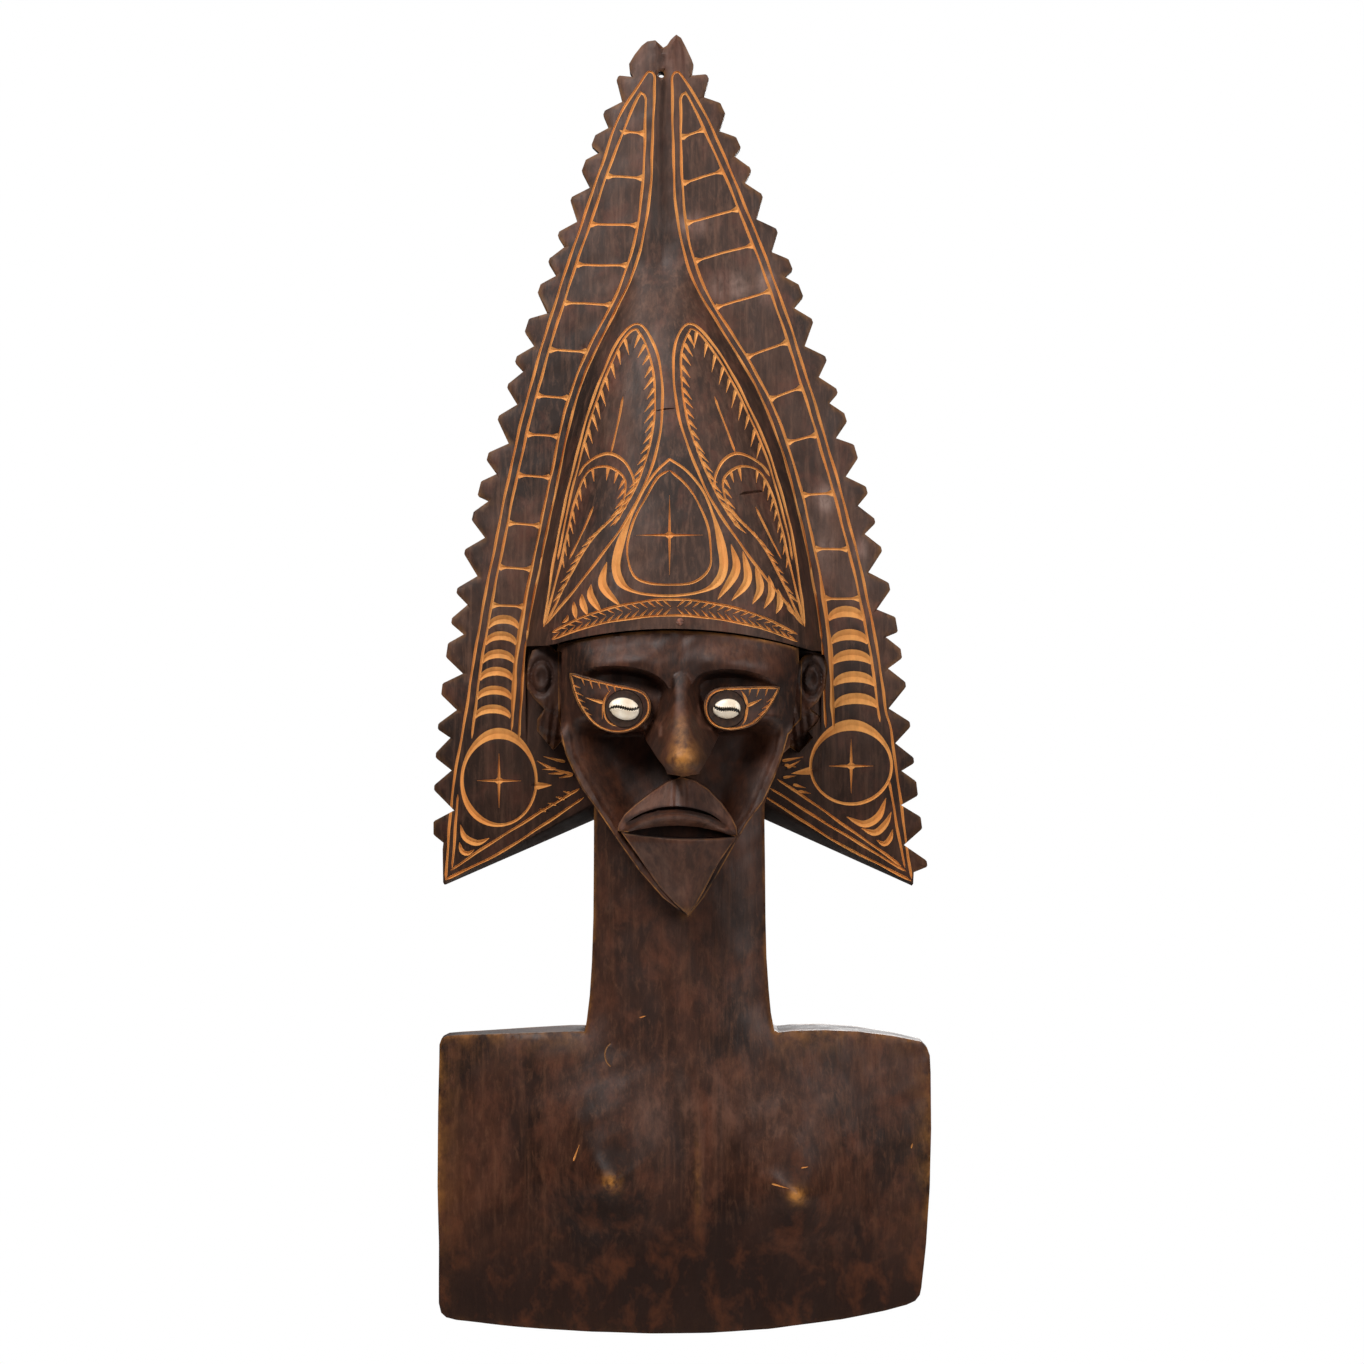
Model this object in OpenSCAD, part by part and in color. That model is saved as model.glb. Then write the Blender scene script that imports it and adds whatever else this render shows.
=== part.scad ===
// Carved bust with a saw-edged headdress, to hang on a wall.
// Two timbers: the bust (chest, neck and head) and the headdress board, which laps behind the
// head and sits on its crown. The eyes are cowrie shells in resin. Pegs hold the timbers.
// Millimetres. +Z is up and the face looks along -Y. The back lies in the plane y = 0, and the
// origin is the middle of the hanging hole in that plane.

/* [Overall] */
// Height from the foot of the chest plate to the tip of the crest
total_h = 892; // [860:1:930]
// Diameter of the hanging hole below the crest
hole_d = 4.5; // [3:0.1:6]
// Distance from the tip of the crest down to the hanging hole
hole_drop = 27.5; // [24:0.5:36]

/* [Chest plate] */
// Width of the chest plate
chest_w = 340; // [300:1:370]
// Height of the chest plate
chest_h = 204; // [180:1:225]
// Thickness of the chest plate at the neck
chest_t = 80; // [70:1:90]
// Thickness of the chest plate at its outer edges
chest_edge_t = 23; // [16:1:30]
// Radius of the corners of the chest plate
chest_corner_r = 12; // [6:1:24]
// Rise of the curved foot from its middle to its ends
foot_rise = 14; // [6:1:24]
// Distance between the two breasts
breast_spacing = 126; // [100:1:150]
// Height that the breasts stand out of the plate
breast_h = 22; // [12:1:26]

/* [Neck and head] */
// Width of the neck
neck_w = 118; // [100:1:126]
// Depth of the neck from the back plane
neck_t = 70; // [60:1:78]
// Height of the chin above the chest plate
chin_gap = 82; // [70:1:95]
// Height of the head from the chin to the ends of the brim
head_h = 185; // [175:1:200]
// Width of the head at the brim
head_w = 160; // [150:1:164]
// Distance that the tip of the nose stands in front of the back plane
nose_reach = 145; // [135:1:150]
// Length of the left cowrie shell
shell_len_left = 20.5; // [17:0.5:22]
// Length of the right cowrie shell
shell_len_right = 18.5; // [16:0.5:22]

/* [Headdress] */
// Span of the wings, tooth tip to tooth tip
wing_span = 338; // [310:1:360]
// Thickness of the board at its middle
board_t = 36; // [32:1:42]
// Thickness of the board at the teeth
edge_t = 14; // [10:1:18]
// Number of teeth on each side
teeth = 24; // [16:1:28]
// Depth of the teeth
tooth_depth = 11; // [5:0.5:14]
// Radius of the dome at the brim
dome_r = 100; // [97:1:104]
// Rise of the brim from its ends to its middle
brim_rise = 10; // [5:1:16]

/* [Joint] */
// Thickness of the lap that runs behind the head
lap_t = 24; // [18:1:28]
// Diameter of the four pegs driven from the back
lap_peg_d = 8; // [6:0.5:10]
// Diameter of the peg driven through the brim
brim_peg_d = 5; // [4:0.5:6]

/* [Hidden] */

// Heights of the main stations above the foot
chin_z = chest_h + chin_gap;
brim_z = chin_z + head_h;
brim_top = brim_z + brim_rise;
wing_z = chin_z + 19;
lap_z = chin_z + 65;
hole_z = total_h - hole_drop;

// The centre line leans to the wearer's right towards the crest
lean_low = -4;
lean_top = -13;
function lean(z) = lean_low + (lean_top - lean_low) * pow((z - wing_z) / (total_h - wing_z), 3);
hole_x = lean_top;

// Chest plate
back_flat = 80;
back_slope = 20;
front_flat = 60;
foot_r = (pow(chest_w / 2, 2) + foot_rise * foot_rise) / (2 * foot_rise);
breast_r = 46;
breast_tip_r = 6;
breast_mid = 16;
breast_z = 105;
breast_step = 4;

// Neck
neck_bevel = 9;

// Head: the skull is a cylinder on the line x = 0, y = 0
skull_r = 94;
reach = 200;
function up(f) = chin_z + f * head_h;
function eye_at(side) = eye_mid + side * eye_x;
mouth_z = up(0.33);
nose_z = up(0.52);
eye_z = up(0.765);
eye_mid = -3;
eye_x = 34.5;
eye_plate_t = 97;
eye_bed_r = 12.5;
eye_bed_h = 7;
shell_proud = 3.5;
shell_flatten = 0.72;
slit_w = 1.6;
slit_depth = 2.4;
chin_x = 5;
ear_x = 93;
ear_r = 10.5;
ear_back = 32;
ear_front = 54;

// Brim and tongue joint
arch_r = (pow(head_w / 2, 2) + brim_rise * brim_rise) / (2 * brim_rise);
tongue_w = 56;
tongue_back = 42;
tongue_front = 66;
tongue_h = 30;
brim_peg_z = brim_top + 5;
brim_peg_len = 52;
lap_peg_len = 50;
lap_peg_x = 30;
lap_peg_high = up(0.83);
lap_peg_low = up(0.54);

// Headdress
crest_t = 24;
crest_valley_t = 18;
valley_w = 8;
dome_x = -5;
dome_top_r = 28;
dome_top_z = total_h - 130;
dome_power = 1.9;
dome_skirt = 20;
board_flat = 60;
bevel_angle = 38;

function bezier(a, b, c, d, t) =
    pow(1 - t, 3) * a + 3 * pow(1 - t, 2) * t * b + 3 * (1 - t) * t * t * c + t * t * t * d;

// Half width and height of the headdress edge, t = 0 at the wing and t = 1 under the crest
function edge_half(t) = wing_span / 2 * bezier(0.985, 1, 0.575, 0.165, t);
function edge_z(t) =
    wing_z + (total_h - wing_z) * bezier(0.05, 0.375, 0.695, 0.965, t);

// The right wing flares outwards at its foot, where it has one tooth more
wing_flare = 6.5;
flare_end = 0.15;
function flare(side, t) = side > 0 ? wing_flare * pow(max(0, 1 - t / flare_end), 2) : 0;
function first_tooth(side) = side > 0 ? -1 : 0;

// Point at depth d inside the edge on one side (side is -1 or 1)
function edge_point(side, t, d) =
    let (
        step = 0.01,
        dx = edge_half(t + step) - edge_half(t - step),
        dz = edge_z(t + step) - edge_z(t - step),
        len = sqrt(dx * dx + dz * dz),
        z = edge_z(t) + d * dx / len
    )
    [lean(z) + side * (edge_half(t) + flare(side, t) - d * dz / len), z];

// Hand-cut unevenness of tooth number i
function uneven(i, side) = sin(97 * i + 40 * side);

// Each tooth has a blunt tip of two points and, below the crest, a notch above it.
// The tips wander along the edge and differ in bluntness, and the depths differ too.
tip_wander = 0.12;
tip_least = 0.06;
tip_more = 0.13;
notch_at = 0.53;
depth_spread = 0.2;
function tooth_points(side, i) =
    let (
        pitch = 1 / teeth,
        t = (i + 0.5 + tip_wander * uneven(i, side)) * pitch,
        depth = tooth_depth * (1 + depth_spread * uneven(i + 5, side)) * (1.1 - 0.4 * t),
        blunt = (tip_least + tip_more * max(0, uneven(3 * i + 1, side))) * pitch
    )
    concat(
        [edge_point(side, t - blunt, 0), edge_point(side, t + blunt, 0)],
        i < teeth - 1 ? [edge_point(side, t + notch_at * pitch, depth)] : []
    );

// Extrude a front view, drawn in x and z, from one depth to another
module slab(near, far) {
    translate([0, -near, 0])
        rotate([90, 0, 0])
            linear_extrude(far - near)
                children();
}

// Extrude a plan, drawn in x and depth, up from a height
module plan(z, h) {
    translate([0, 0, z])
        linear_extrude(h)
            mirror([0, 1])
                children();
}

// Extrude a side view, drawn in depth and z, to a width centred on x
module side_view(x, w) {
    translate([x - w / 2, 0, 0])
        rotate([90, 0, 90])
            linear_extrude(w)
                mirror([1, 0])
                    children();
}

// Round bar from one depth to another
module bar(x, z, d, near, far) {
    translate([x, -near, z])
        rotate([90, 0, 0])
            cylinder(h = far - near, d = d, $fn = 48);
}

// Everything under the arch of the brim
module under_brim() {
    bar(0, brim_top - arch_r, 2 * arch_r, -1, reach);
}

// Front view of the head down to the jaw corners, with the neck below it
module head_front() {
    half = head_w / 2;
    polygon([
        [-half, brim_top], [-half * 0.975, up(0.75)], [-half * 0.92, up(0.56)],
        [-half * 0.73, up(0.42)], [-half * 0.5, up(0.33)], [half * 0.5, up(0.33)],
        [half * 0.73, up(0.42)], [half * 0.92, up(0.56)], [half * 0.975, up(0.75)],
        [half, brim_top]
    ]);
    translate([-neck_w / 2, lap_z - 1])
        square([neck_w, up(0.5) - lap_z]);
}

module chest_plate() {
    half = chest_w / 2;
    intersection() {
        slab(0, chest_t)
            offset(r = chest_corner_r, $fn = 48)
                offset(delta = -chest_corner_r)
                    intersection() {
                        translate([-half, 0])
                            square([chest_w, chest_h]);
                        translate([0, foot_r])
                            circle(r = foot_r, $fn = 180);
                    }
        plan(0, chest_h)
            polygon([
                [-half, back_slope], [-back_flat, 0], [back_flat, 0], [half, back_slope],
                [half, back_slope + chest_edge_t], [front_flat, chest_t],
                [-front_flat, chest_t], [-half, back_slope + chest_edge_t]
            ]);
    }
}

module breast(side) {
    x = breast_mid + side * breast_spacing / 2;
    translate([x, 10 - chest_t, breast_z - side * breast_step])
        rotate([90, 0, 0])
            cylinder(h = breast_h + 10, r1 = breast_r, r2 = breast_tip_r, $fn = 64);
}

module neck() {
    half = neck_w / 2;
    inset = half - neck_bevel;
    plan(chest_h - 20, up(0.62) - chest_h + 20)
        polygon([
            [-inset, 0], [inset, 0], [half, neck_bevel], [half, neck_t - neck_bevel],
            [inset, neck_t], [-inset, neck_t], [-half, neck_t - neck_bevel], [-half, neck_bevel]
        ]);
}

// Skull: round in plan, as wide as the head, up to the brim
module skull() {
    intersection() {
        translate([0, 0, lap_z - 10])
            cylinder(h = reach, r = skull_r, $fn = 96);
        slab(lap_t, reach)
            head_front();
        under_brim();
    }
}

module brow(side) {
    intersection() {
        translate([0, 0, up(0.8)])
            cylinder(h = 60, r = skull_r + 13, $fn = 96);
        slab(60, reach)
            polygon([
                [0, up(0.84)], [side * 40, up(0.91)], [side * 74, up(0.87)],
                [side * 74, up(0.83)], [side * 40, up(0.85)], [0, up(0.78)]
            ]);
    }
}

module nose() {
    intersection() {
        side_view(0, 40)
            polygon([
                [70, up(0.9)], [106, up(0.88)], [112, up(0.82)], [nose_reach, up(0.6)],
                [nose_reach, up(0.56)], [118, nose_z], [70, nose_z]
            ]);
        slab(60, reach)
            polygon([
                [-7, up(0.9)], [-6, up(0.8)], [-12, up(0.62)], [-12, up(0.55)], [-8, nose_z],
                [8, nose_z], [12, up(0.55)], [12, up(0.62)], [6, up(0.8)], [7, up(0.9)]
            ]);
    }
}

// Muzzle: a pyramid from the nose down to the mouth
module muzzle() {
    intersection() {
        side_view(0, 100)
            polygon([
                [50, up(0.56)], [104, up(0.54)], [122, mouth_z + 4], [122, mouth_z - 2],
                [50, mouth_z - 2]
            ]);
        slab(50, reach)
            polygon([
                [-14, up(0.56)], [-42, mouth_z + 6], [-42, mouth_z - 2], [42, mouth_z - 2],
                [42, mouth_z + 6], [14, up(0.56)]
            ]);
    }
}

// Rim of the face: a thin wedge from the jaw corners down to the chin
module face_rim() {
    corner = head_w * 0.37;
    intersection() {
        side_view(0, 2 * corner)
            polygon([
                [50, up(0.5)], [88, up(0.5)], [94, up(0.3)], [99, chin_z], [66, chin_z],
                [50, up(0.12)]
            ]);
        slab(40, reach)
            polygon([
                [-corner, up(0.5)], [-corner, up(0.4)], [chin_x - 4, chin_z], [chin_x + 4, chin_z],
                [corner, up(0.4)], [corner, up(0.5)]
            ]);
    }
}

// Jaw: a raised plate on the rim, with the mouth slit across its top
module jaw() {
    top = mouth_z - 2;
    difference() {
        intersection() {
            side_view(0, 100)
                polygon([
                    [60, top + 12], [118, top + 12], [121, top - 6], [104, up(0.03)],
                    [70, up(0.03)]
                ]);
            slab(60, reach)
                polygon([
                    [-42, top + 12], [-42, top], [chin_x - 5, up(0.03)], [chin_x + 5, up(0.03)], [42, top],
                    [42, top + 12]
                ]);
        }
        slab(100, reach)
            translate([-34, mouth_z - 6])
                square([68, 7]);
    }
}

// Leaf-shaped plate that carries the shell
module eye_plate(side) {
    slab(60, eye_plate_t)
        translate([eye_mid, 0])
            polygon([
                [side * 71, up(0.87)], [side * 36, up(0.88)], [side * 18, up(0.83)],
                [side * 18, up(0.72)], [side * 36, up(0.66)], [side * 58, up(0.71)]
            ]);
}

// Round hollow in the cheek below the eye
module cheek_hollow(side) {
    translate([side * 50, -118, up(0.53)])
        sphere(r = 41, $fn = 64);
}

module ear(side) {
    slab(ear_back, ear_front)
        translate([side * ear_x, 0])
            hull() {
                translate([0, up(0.95) - ear_r])
                    circle(r = ear_r, $fn = 32);
                translate([-side * 3, up(0.62) + ear_r])
                    circle(r = ear_r * 0.9, $fn = 32);
            }
    slab(ear_back, ear_front - 8)
        translate([side * (ear_x - 10) - 9, up(0.66)])
            square([18, up(0.9) - up(0.66)]);
}

module ear_hollow(side) {
    slab(ear_front - 7, ear_front + 1)
        translate([side * ear_x, up(0.85)])
            scale([0.62, 1])
                circle(r = 10, $fn = 32);
}

module crown_tongue() {
    slab(tongue_back, tongue_front)
        translate([-tongue_w / 2, up(0.9)])
            square([tongue_w, brim_top + tongue_h - up(0.9)]);
}

module eye_pocket(side) {
    bar(eye_at(side), eye_z, 2 * eye_bed_r, eye_plate_t - eye_bed_h, reach);
}

module brim_peg_bar() {
    bar(0, brim_peg_z, brim_peg_d, dome_r - brim_peg_len, dome_r - 1);
}

module lap_peg_bar(side, z) {
    bar(side * lap_peg_x, z, lap_peg_d, 0, lap_peg_len);
}

module all_pegs() {
    brim_peg_bar();
    for (side = [-1, 1])
        for (z = [lap_peg_low, lap_peg_high])
            lap_peg_bar(side, z);
}

// Front view of the headdress: crest lobes, toothed edges and wings
module headdress_front() {
    left = [for (i = [first_tooth(-1) : teeth - 1]) each tooth_points(-1, i)];
    right = [for (i = [first_tooth(1) : teeth - 1]) each tooth_points(1, i)];
    crest = [
        [lean_top - 19, total_h - 28], [lean_top - 22, total_h - 20],
        [lean_top - 12, total_h - 6], [lean_top - 4, total_h - 4], [lean_top + 2, total_h - 9],
        [lean_top + 10, total_h], [lean_top + 14, total_h - 2],
        [lean_top + 22, total_h - 18], [lean_top + 21, total_h - 28]
    ];
    wing_tip = wing_span / 2 - 6;
    wing_root = neck_w / 2;
    polygon(concat(
        [[-wing_root, lap_z], [-wing_tip, wing_z]],
        left, crest, [for (k = [len(right) - 1 : -1 : 0]) right[k]],
        [[wing_tip - 4, wing_z], [wing_root, lap_z]]
    ));
}

// Board: thick in the middle, thin at the teeth and at the crest
module board() {
    half = wing_span / 2 + 8;
    intersection() {
        slab(0, board_t)
            headdress_front();
        plan(wing_z - 1, total_h)
            polygon([
                [-half, 0], [half, 0], [half, edge_t], [board_flat, board_t],
                [-board_flat, board_t], [-half, edge_t]
            ]);
        side_view(0, 2 * half)
            polygon([
                [0, wing_z - 1], [board_t, wing_z - 1], [board_t, up(2)],
                [crest_t, total_h + 1], [0, total_h + 1]
            ]);
    }
}

// Dome: its radius falls from the brim to the crest
function dome_at(s) = dome_r - (dome_r - dome_top_r) * pow(s, dome_power);

module dome() {
    steps = 12;
    foot = brim_z - dome_skirt;
    rise = dome_top_z - foot;
    intersection() {
        translate([dome_x, 0, foot])
            rotate_extrude($fn = 96)
                polygon(concat(
                    [[0, 0]],
                    [for (i = [0 : steps]) [dome_at(i / steps), rise * i / steps]],
                    [[0, rise]]
                ));
        slab(0, reach)
            translate([-reach, foot])
                square([2 * reach, rise]);
    }
}

// The underside of each wing is cut back, so that the front edge is higher than the back edge
module wing_bevel(side) {
    run = wing_span / 2 - 6 - neck_w / 2;
    slope = atan((lap_z - wing_z) / run);
    translate([side * (wing_span / 2 - 6), -edge_t + 4, wing_z])
        rotate([0, side * slope, 0])
            rotate([-bevel_angle, 0, 0])
                translate([-reach, -reach, -60])
                    cube([2 * reach, reach, 60]);
}

// Shallow valley down the middle of the crest, with a flat floor for the hanging hole
module crest_valley() {
    plan(dome_top_z - 30, total_h)
        translate([lean_top, 0])
            polygon([
                [-valley_w / 2, crest_valley_t], [valley_w / 2, crest_valley_t],
                [50, crest_valley_t + 22], [-50, crest_valley_t + 22]
            ]);
}

// The space that the head fills in the headdress
module head_pocket() {
    intersection() {
        slab(lap_t, reach)
            head_front();
        under_brim();
    }
}

// Flattened egg of a cowrie, standing on its long axis x, slit to the front
module cowrie(len) {
    w = len * shell_flatten;
    points = 24;
    difference() {
        rotate([0, 90, 0])
            rotate_extrude($fn = 48)
                polygon([for (i = [0 : points])
                    let (a = 180 * i / points)
                    [w / 2 * sin(a), -len / 2 * cos(a) * (1 - 0.06 * sin(a))]
                ]);
        translate([-len, w / 4, -len])
            cube([2 * len, len, 2 * len]);
        translate([-len * 0.42, -w, -slit_w / 2])
            cube([len * 0.84, w / 2 + slit_depth, slit_w]);
    }
}

module placed_shell(side, len, tilt) {
    w = len * shell_flatten;
    translate([eye_at(side), -eye_plate_t - shell_proud + w / 2, eye_z])
        rotate([0, tilt, 0])
            cowrie(len);
}

module eye_bed(side, len, tilt) {
    difference() {
        bar(eye_at(side), eye_z, 2 * eye_bed_r, eye_plate_t - eye_bed_h, eye_plate_t - 1);
        placed_shell(side, len, tilt);
    }
}

tilt_left = 15;
tilt_right = -4;

// Move the origin to the hanging hole
module hung() {
    translate([-hole_x, 0, -hole_z])
        children();
}

module bust() {
    color("saddlebrown")
        hung()
            difference() {
                union() {
                    chest_plate();
                    breast(-1);
                    breast(1);
                    difference() {
                        union() {
                            neck();
                            skull();
                            for (side = [-1, 1])
                                eye_plate(side);
                        }
                        for (side = [-1, 1])
                            cheek_hollow(side);
                    }
                    for (side = [-1, 1]) {
                        brow(side);
                        ear(side);
                    }
                    nose();
                    muzzle();
                    face_rim();
                    jaw();
                    crown_tongue();
                }
                translate([-reach, -lap_t, lap_z])
                    cube([2 * reach, lap_t + 1, total_h]);
                for (side = [-1, 1]) {
                    eye_pocket(side);
                    ear_hollow(side);
                }
                all_pegs();
            }
}

module headdress() {
    color("dimgray")
        hung()
            difference() {
                union() {
                    board();
                    difference() {
                        dome();
                        under_brim();
                    }
                }
                head_pocket();
                crown_tongue();
                crest_valley();
                for (side = [-1, 1])
                    wing_bevel(side);
                all_pegs();
                bar(hole_x, hole_z, hole_d, -1, reach);
            }
}

module shell_eye_left() {
    color("linen")
        hung()
            placed_shell(-1, shell_len_left, tilt_left);
}

module shell_eye_right() {
    color("linen")
        hung()
            placed_shell(1, shell_len_right, tilt_right);
}

module eye_bed_left() {
    color("black")
        hung()
            eye_bed(-1, shell_len_left, tilt_left);
}

module eye_bed_right() {
    color("black")
        hung()
            eye_bed(1, shell_len_right, tilt_right);
}

module brim_peg() {
    color("sienna")
        hung()
            brim_peg_bar();
}

module lap_peg(side, z) {
    color("peru")
        hung()
            lap_peg_bar(side, z);
}

bust();
headdress();
shell_eye_left();
shell_eye_right();
eye_bed_left();
eye_bed_right();
brim_peg();
lap_peg(-1, lap_peg_high);  // lap_peg_upper_left
lap_peg(1, lap_peg_high);  // lap_peg_upper_right
lap_peg(-1, lap_peg_low);  // lap_peg_lower_left
lap_peg(1, lap_peg_low);  // lap_peg_lower_right
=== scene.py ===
import math

import bpy
import numpy as np
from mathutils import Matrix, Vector
from mathutils.geometry import delaunay_2d_cdt


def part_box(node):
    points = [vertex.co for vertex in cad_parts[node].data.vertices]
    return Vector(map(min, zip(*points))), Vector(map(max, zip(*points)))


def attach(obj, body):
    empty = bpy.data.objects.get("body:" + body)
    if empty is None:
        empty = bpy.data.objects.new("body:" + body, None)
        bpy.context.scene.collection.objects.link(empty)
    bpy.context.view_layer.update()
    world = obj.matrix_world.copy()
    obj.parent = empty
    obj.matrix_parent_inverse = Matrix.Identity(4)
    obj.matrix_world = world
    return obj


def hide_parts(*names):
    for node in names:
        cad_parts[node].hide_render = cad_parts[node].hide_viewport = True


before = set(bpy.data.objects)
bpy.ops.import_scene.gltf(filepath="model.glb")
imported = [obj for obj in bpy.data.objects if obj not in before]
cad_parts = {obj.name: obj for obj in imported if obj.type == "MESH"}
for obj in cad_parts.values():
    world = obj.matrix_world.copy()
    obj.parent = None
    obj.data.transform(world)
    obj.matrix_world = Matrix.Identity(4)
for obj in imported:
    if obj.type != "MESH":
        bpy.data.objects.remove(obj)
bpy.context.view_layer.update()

MM = 0.001
bust_low, bust_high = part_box("bust")
FOOT = bust_low[2]
MIDDLE = (bust_low[0] + bust_high[0]) / 2
HAND_SEED, FILL_SEED = 7, 11
random = np.random.default_rng(HAND_SEED)


def place(x, depth, z):
    """Carving millimetres to metres in the frame."""
    return np.column_stack([MIDDLE + x * MM, -depth * MM, FOOT + z * MM])


# ---------------------------------------------------------------- curves and fields


def smooth(low, high, value):
    """0 below low and 1 above high, with a soft step between. It falls if low is above high."""
    t = np.clip((value - low) / (high - low), 0.0, 1.0)
    return t * t * (3.0 - 2.0 * t)


def mix(a, b, share):
    return a + (b - a) * share


def spline(points, step=1.5):
    """Smooth curve through the points, sampled about every step millimetres."""
    p = np.array(points, float)
    p = np.vstack([2 * p[0] - p[1], p, 2 * p[-1] - p[-2]])
    out = []
    for a, b, c, d in zip(p, p[1:], p[2:], p[3:]):
        count = max(2, int(np.linalg.norm(c - b) / step))
        t = np.arange(count)[:, None] / count
        square = 2 * a - 5 * b + 4 * c - d
        cube = 3 * b - a - 3 * c + d
        out.append(0.5 * (2 * b + (c - a) * t + square * t**2 + cube * t**3))
    out.append(p[-2][None, :])
    return np.vstack(out)


def rule(pairs):
    """Smooth function of one value from a few (value, result) pairs, in rising order."""
    curve = spline(pairs, 2.0)
    return lambda v: np.interp(v, curve[:, 0], curve[:, 1])


def line(a, b, step=1.5):
    count = max(2, int(math.dist(a, b) / step) + 1)
    return np.linspace(a, b, count)


def oval(centre, a, b, start=0, end=360, count=72):
    angle = np.radians(np.linspace(start, end, count))
    return np.column_stack([centre[0] + a * np.cos(angle), centre[1] + b * np.sin(angle)])


def waves(x, z, size, seed):
    """Soft unevenness of about -1 to 1 with the given wavelength in millimetres."""
    turn = np.random.default_rng(seed).uniform(0, 2 * math.pi, 6)
    u, v = x * 2 * math.pi / size, z * 2 * math.pi / size
    return (
        np.sin(u + 0.6 * v + turn[0])
        + np.sin(1.7 * v - 0.5 * u + turn[1])
        + 0.6 * np.sin(2.3 * u + 1.1 * v + turn[2])
        + 0.5 * np.sin(2.9 * v - 1.9 * u + turn[3])
    ) / 3.1


def inside(poly, x, z):
    """Which points are inside a closed polygon."""
    hit = np.zeros(len(x), bool)
    near = (x > poly[:, 0].min()) & (x < poly[:, 0].max()) & (z > poly[:, 1].min()) & (z < poly[:, 1].max())
    px, pz = x[near], z[near]
    got = np.zeros(len(px), bool)
    for (ax, az), (bx, bz) in zip(poly, np.roll(poly, -1, axis=0)):
        if az == bz:
            continue
        cross = ((az > pz) != (bz > pz)) & (px < (bx - ax) * (pz - az) / (bz - az) + ax)
        got ^= cross
    hit[near] = got
    return hit


def offset(path, distance, closed=False):
    """The path moved sideways (to its left for a positive distance)."""
    p = np.asarray(path, float)
    if closed:
        before, after = np.roll(p, 1, axis=0), np.roll(p, -1, axis=0)
    else:
        before, after = np.vstack([p[:1], p[:-1]]), np.vstack([p[1:], p[-1:]])
    way = after - before
    way /= np.maximum(np.linalg.norm(way, axis=1, keepdims=True), 1e-9)
    normal = np.column_stack([-way[:, 1], way[:, 0]])
    return p + normal * np.broadcast_to(np.asarray(distance, float), (len(p),))[:, None]


def split_edges(points, longest):
    """The closed polygon with its long edges split, so that the mesh follows a curved surface."""
    out = []
    for a, b in zip(points, points[1:] + points[:1]):
        count = max(1, int(math.dist(a, b) / longest))
        out += [(a[0] + (b[0] - a[0]) * k / count, a[1] + (b[1] - a[1]) * k / count) for k in range(count)]
    return np.array(out)


def path_distance(path, x, z):
    """Distance from points to a path, and how far along it (0 to 1) the nearest place is."""
    best = np.full(len(x), 1e9)
    along = np.zeros(len(x))
    lengths = np.linalg.norm(np.diff(path, axis=0), axis=1)
    total = max(lengths.sum(), 1e-9)
    start = 0.0
    for a, b, length in zip(path, path[1:], lengths):
        d = b - a
        t = np.clip(((x - a[0]) * d[0] + (z - a[1]) * d[1]) / max(length * length, 1e-9), 0, 1)
        dist = np.hypot(x - a[0] - t * d[0], z - a[1] - t * d[1])
        closer = dist < best
        best[closer] = dist[closer]
        along[closer] = (start + t[closer] * length) / total
        start += length
    return best, along


# ---------------------------------------------------------------- relief carving


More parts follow.
